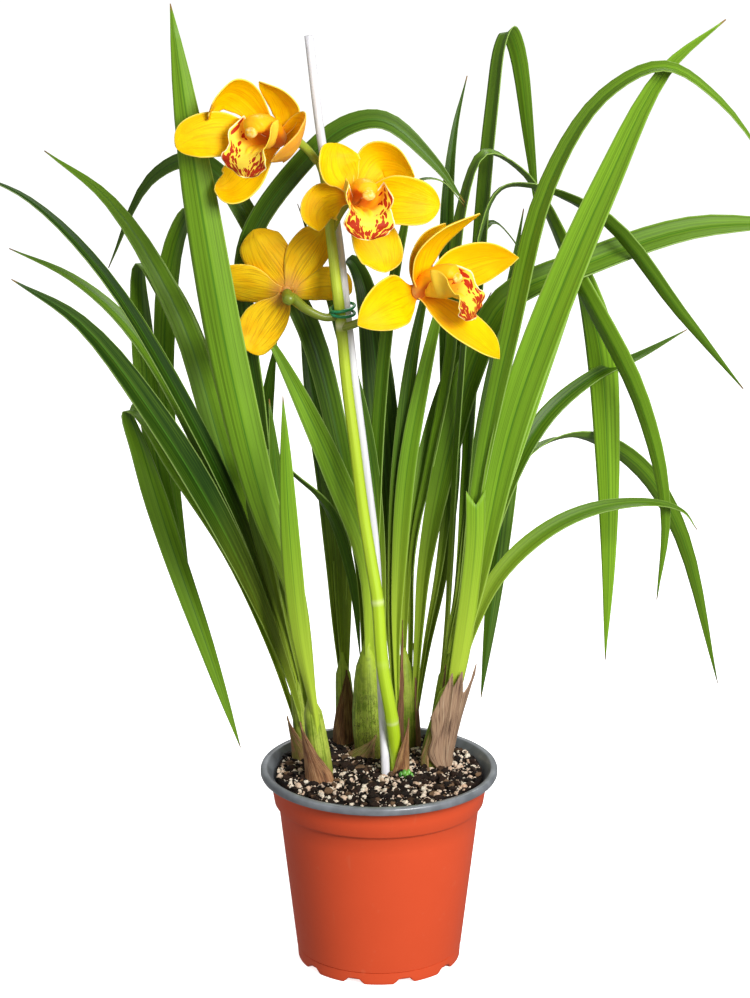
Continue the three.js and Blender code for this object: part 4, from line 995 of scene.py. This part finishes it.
def addLip(mesh, at, seed):
    shape = lipShape
    below, length, off, wide = [shape[key] for key in ("below", "length", "ridgeOff", "ridgeWidth")]
    spine = [(0, -below, shape["start"]), (0, -below - 4, 0.45 * length), (0, -below - 6, 0.75 * length),
             (0, -below - 12, 0.95 * length), (0, -shape["drop"], 0.9 * length)]
    route = Route(spine)

    def place(s, t):
        t = 1 - (1 - t) ** 1.25  # finer rows towards the tip
        _, rise, forward = route.at(t)
        ahead = route.ahead(t)
        half = shape["width"] / 2 * alongStops(shape["widths"], t, True)
        past = max(0, t - shape["round"]) / (1 - shape["round"])
        half *= 0.02 + 0.98 * math.sqrt(max(0, 1 - past ** 2.2))
        fold = math.radians(alongStops(shape["folds"], t, True)) * abs(s)
        edge = abs(s) ** 3
        frill = math.sin(t * shape["frills"] + s * 2 + seed) * shape["frill"] * edge
        frill *= smooth((t - shape["frillFrom"]) / 0.2)
        ruffle = ripple((t * 60, s * 9, 0), 7, seed) * shape["ruffle"] * (0.2 + edge)
        ridges = shape["ridgeHeight"] * (bump(s, -off, wide) + bump(s, off, wide))
        ridges *= smooth((t - 0.06) / 0.1) * smooth((shape["ridgeEnd"] - t) / 0.14)
        lift = half * abs(s) * math.sin(fold) + frill + ruffle + ridges
        return at(s * half * math.cos(fold), rise + lift * ahead.z, forward - lift * ahead.y)

    def ridge(s, t):  # where the two ridges are painted, a little wider than they stand
        t = 1 - (1 - t) ** 1.25
        there = smooth((shape["ridgeEnd"] - t) / 0.1) * smooth((t - 0.05) / 0.1)
        return bump(abs(s), off, wide * 1.2) * there

    addSheet(mesh, shape["rows"], shape["columns"], place, age=seed * shape["ageStep"] % 1, ridge=ridge)


for number, bloom in enumerate(blooms):
    name = bloom["name"]
    ahead, at = bloomFrame(bloom)
    upward = (at(0, 1, 0) - at(0, 0, 0)).normalized()
    mesh = newMesh("age", "stain", "blush")
    for k, row in enumerate(bloom["tepals"]):
        values, extras = parted(row)
        addTepal(mesh, bloom, number * 5 + k + 1, *values, **extras)
    finish(name + "_petals", mesh, [petalFace, petalBack], [name], tepalShape["thickness"] * mm, 1)
    mesh = newMesh("under")
    addColumn(mesh, at, bloom["hood"])
    finish(name + "_column", mesh, [glowingHoodSkin], ())
    mesh = newMesh()
    addCap(mesh, at, upward, ahead)
    finish(name + "_cap", mesh, [capSkin], ())
    mesh = newMesh("age", "ridge")
    addLip(mesh, at, number + 1)
    name = name.replace("bloom", "lip")
    finish(name + "_lobes", mesh, [lipBack, lipSkin], [name], lipShape["thickness"] * mm, 1)
print("blooms made")

# Pot
pot = {
    "height": 128, "lipRadius": 75, "lipHeight": 5, "lipWidth": 4.5, "collarTopRadius": 69,
    "collarBottomRadius": 66.4, "collarFoot": 104, "bodyTopRadius": 63.7, "bodyBottomRadius": 52.6,
    "hemHeight": 8, "baseRadius": 52, "wall": 2.4, "floor": 2.6, "notches": 10, "notchWidth": 10.5,
    "notchHeight": 3.5, "notchDepth": 8.5, "underside": (0, 43, 44, 47, 49.4, 50.8), "segments": 180,
    "crease": 50,
}


def spinProfile(profile, segments):
    mesh = newMesh()
    verts = [mesh.verts.new((radius * mm, 0, height * mm)) for radius, height in profile]
    edges = [mesh.edges.new(pair) for pair in zip(verts, verts[1:])]
    bmesh.ops.spin(mesh, geom=verts + edges, cent=(0, 0, 0), axis=(0, 0, 1), angle=2 * math.pi,
                   steps=segments, use_merge=True)
    bmesh.ops.remove_doubles(mesh, verts=mesh.verts, dist=weldGap)
    bmesh.ops.recalc_face_normals(mesh, faces=mesh.faces)
    return mesh


def potOutline():  # half the pot's section: out under it, up its side, over the rim and in along its floor
    base, low, high = pot["baseRadius"], pot["bodyBottomRadius"], pot["bodyTopRadius"]
    collarLow, collarHigh, lip = pot["collarBottomRadius"], pot["collarTopRadius"], pot["lipRadius"]
    hem, foot, top, wall = pot["hemHeight"], pot["collarFoot"], pot["height"], pot["wall"]
    inner, lipFoot = lip - pot["lipWidth"], top - pot["lipHeight"]
    outside = [(radius, 0) for radius in pot["underside"]] + [(base - 0.25, 0.3), (base, 1.2)]
    outside += [(mixed(base, low - 0.3, k / 4), mixed(1.2, hem, k / 4)) for k in (1, 2, 3, 4)]
    outside += [(low - 0.8, hem + 0.2), (low + 0.05, hem + 0.6)]
    outside += [(mixed(low, high, k / 8), mixed(hem, foot, k / 8)) for k in range(1, 8)]
    outside += [(high - 0.1, foot - 0.6), (high + 0.3, foot), (collarLow - 0.6, foot + 0.9),
                (collarLow - 0.05, foot + 1.7), (mixed(collarLow, collarHigh, 0.5), foot + 10),
                (collarHigh, lipFoot - 0.4), (collarHigh + 0.5, lipFoot)]
    rim = [(lip - 2.6, lipFoot), (lip - 0.5, lipFoot + 0.3), (lip, lipFoot + 1.3), (lip, top - 1.5),
           (lip - 0.4, top - 0.5), (lip - 1.4, top), (inner + 0.9, top), (inner + 0.25, top - 0.35),
           (inner, top - 1.2)]
    inside = [(collarHigh - wall, lipFoot - 1), (collarLow - wall, foot + 1.6), (high - wall, foot - 2),
              (low - wall, pot["floor"]), (0, pot["floor"])]
    return outside + rim + inside


def cutNotches(mesh):  # lifts the underside's rim into the sloping notches of the hem
    step = 2 * math.pi / pot["notches"]
    for vert in mesh.verts:
        away = math.hypot(vert.co.x, vert.co.y) / mm
        ring = pot["baseRadius"] - pot["notchDepth"] <= away <= pot["bodyBottomRadius"]
        if not ring or vert.co.z > (pot["notchHeight"] + 0.2) * mm:
            continue
        angle = math.atan2(vert.co.y, vert.co.x)
        off = abs((angle + step / 2) % step - step / 2) * pot["baseRadius"]
        inside = smooth((pot["notchWidth"] / 2 + 1.2 - off) / 2.4)
        vert.co.z = mixed(vert.co.z, max(vert.co.z, pot["notchHeight"] * mm), inside)


mesh = spinProfile(potOutline(), pot["segments"])
cutNotches(mesh)
greyFrom = pot["height"] - pot["lipHeight"] - 0.2
for face in mesh.faces:
    middle = face.calc_center_median()
    away = math.hypot(middle.x, middle.y) / mm
    inner = away < pot["collarTopRadius"] - 0.8 and middle.z / mm > pot["floor"] - 0.5
    inward = face.normal.x * middle.x + face.normal.y * middle.y < 0
    face.material_index = 1 if middle.z / mm > greyFrom or (inner and inward) else 0
bmesh.ops.split_edges(mesh, edges=[edge for edge in mesh.edges if len(edge.link_faces) == 2 and
                                   edge.calc_face_angle(0) > math.radians(pot["crease"])])
finish("flower_pot", mesh, [clayPlastic, lipPlastic], ["pot"])
print("pot made")

# Potting mix: a lumpy bed with loose grains of bark and perlite on it
mix = {
    "top": 124, "mound": 2.5, "lump": 0.5, "fine": 0.9, "finer": 0.54, "edge": 65.2, "bottom": 112,
    "rings": 34, "sides": 120, "spread": 64, "seed": 11, "dip": 1.2, "dipReach": 2.5,
    "grains": [
        {"name": "bark_chips", "count": 760, "size": (1.6, 6.6), "flat": (0.3, 0.6), "sink": 0.1},
        {"name": "perlite_lumps", "count": 560, "size": (1.3, 4.6), "flat": (0.6, 1.0), "sink": 0.25},
        {"name": "perlite_grit", "count": 1500, "size": (0.6, 1.9), "flat": (0.6, 1.0), "sink": 0.1},
    ],
}


def mixHeight(x, y):  # as the CAD's bed, in millimetres
    away = math.hypot(x, y) / pot["collarTopRadius"]
    lumps = math.sin(x * 0.31 + 1) * math.cos(y * 0.27) + 0.7 * math.sin(x * 0.53 - y * 0.47)
    return mix["top"] + mix["mound"] * (1 - away * away) + mix["lump"] * lumps


def stemsAt(x, y):  # how far a point of the bed is from the nearest stem, in millimetres
    stems = [(shoot["foot"], shoot["radii"][0]) for shoot in shoots]
    stems += [(spike["path"][0][:2], spike["footRadius"]), (stake["path"][0][:2], stake["radius"])]
    return min(math.hypot(x - foot[0], y - foot[1]) - radius for foot, radius in stems)


mesh = newMesh()
bmesh.ops.create_circle(mesh, cap_ends=True, cap_tris=True, segments=mix["sides"], radius=mix["edge"] * mm)
wheel = [edge for edge in mesh.edges if not edge.is_boundary]
bmesh.ops.subdivide_edges(mesh, edges=wheel, cuts=mix["rings"], use_grid_fill=True)
rim = bmesh.ops.extrude_edge_only(mesh, edges=[edge for edge in mesh.edges if edge.is_boundary])
skirt = {vert for vert in rim["geom"] if isinstance(vert, bmesh.types.BMVert)}
for vert in mesh.verts:
    x, y = vert.co.x / mm, vert.co.y / mm
    if vert in skirt:
        vert.co.z = mix["bottom"] * mm
        continue
    height = mixHeight(x, y) + ripple((x, y, 0), 3.2) * mix["fine"] + ripple((x, y, 9), 1.3) * mix["finer"]
    vert.co.z = (height - mix["dip"] * smooth(1 - stemsAt(x, y) / mix["dipReach"])) * mm
bmesh.ops.recalc_face_normals(mesh, faces=mesh.faces)
finish("bark_bed", mesh, [peat], ["potting_mix"])


def addGrain(mesh, draw, kind):
    for _ in range(30):
        away, angle = mix["spread"] * math.sqrt(draw.random()), draw.uniform(0, 2 * math.pi)
        x, y = away * math.cos(angle), away * math.sin(angle)
        if stemsAt(x, y) > 0.5:
            break
    size = mixed(*kind["size"], draw.random() ** 1.6) / 2
    room = min(1, max(0.3, (pot["collarTopRadius"] - pot["wall"] - 1 - away) / size))
    stretch = Vector((1, draw.uniform(0.5, 0.9), draw.uniform(*kind["flat"]))) * size * room * mm
    turn = Matrix.Rotation(draw.uniform(0, 6.3), 3, "Z") @ Matrix.Rotation(draw.uniform(-0.7, 0.7), 3, "X")
    spot = Vector((x, y, mixHeight(x, y) + size * (0.5 - kind["sink"]))) * mm
    tint, seed = draw.random(), draw.random() * 50
    layer = mesh.verts.layers.float["tint"]
    for vert in bmesh.ops.create_icosphere(mesh, subdivisions=2 if size > 1.6 else 1, radius=1)["verts"]:
        lump = 1 + 0.5 * noise.noise(vert.co * 1.5 + Vector((seed, 0, 0)))
        vert[layer] = tint
        vert.co = spot + turn @ (vert.co * lump * stretch)


draw = random.Random(mix["seed"])
for kind, material in zip(mix["grains"], (barkChip, perlite, perlite)):
    mesh = newMesh("tint")
    for _ in range(kind["count"]):
        addGrain(mesh, draw, kind)
    finish(kind["name"], mesh, [material], (), smoothed=False)
print("potting mix made")

# Floor, lights and camera
studio = {
    "floor": 12, "floorColor": (0.93, 0.93, 0.93, 1), "floorGlow": 0.8, "world": 0.3,
    "lights": [  # place, size, power, aimed at (all metres and watts)
        ((0.9, -1.5, 1.2), 0.8, 47, (0, 0, 0.3)),
        ((-1.5, -0.9, 1.2), 0.9, 3, (0, 0, 0.3)),
        ((0.2, 1.2, 1.6), 1.0, 14, (0, 0, 0.4)),
    ],
    "camera": (-0.002542, -1.86716, 0.84474), "pitch": 73.832, "lens": 113.507,
}

mesh = newMesh()
bmesh.ops.create_grid(mesh, x_segments=1, y_segments=1, size=studio["floor"])
floorData = bpy.data.meshes.new("studio_floor")
mesh.to_mesh(floorData)
mesh.free()
floor = bpy.data.objects.new("studio_floor", floorData)
scene.collection.objects.link(floor)
floorData.materials.append(newMaterial(
    "paleFloor", lambda w: {"Base Color": studio["floorColor"], "Roughness": 0.9},
    Emission_Color=(1, 1, 1, 1), Emission_Strength=studio["floorGlow"]))
floor.visible_diffuse = floor.visible_glossy = False  # it glows white without lighting the plant from below

world = bpy.data.worlds.new("studio")
world.use_nodes = True
world.node_tree.nodes["Background"].inputs[0].default_value = (1, 1, 1, 1)
world.node_tree.nodes["Background"].inputs[1].default_value = studio["world"]
scene.world = world

for number, (place, size, power, aim) in enumerate(studio["lights"]):
    light = bpy.data.lights.new("softbox_%d" % number, "AREA")
    light.size, light.energy = size, power
    lamp = bpy.data.objects.new(light.name, light)
    lamp.location = place
    lamp.rotation_euler = (Vector(aim) - Vector(place)).to_track_quat("-Z", "Y").to_euler()
    scene.collection.objects.link(lamp)

camera = bpy.data.objects.new("photo_camera", bpy.data.cameras.new("photo_camera"))
camera.data.sensor_fit = "VERTICAL"
camera.data.sensor_height = 36
camera.data.lens = studio["lens"]
camera.location = studio["camera"]
camera.rotation_euler = (math.radians(studio["pitch"]), 0, 0)
scene.collection.objects.link(camera)
scene.camera = camera
scene.view_settings.view_transform = "Standard"
print("floor, lights and camera made")
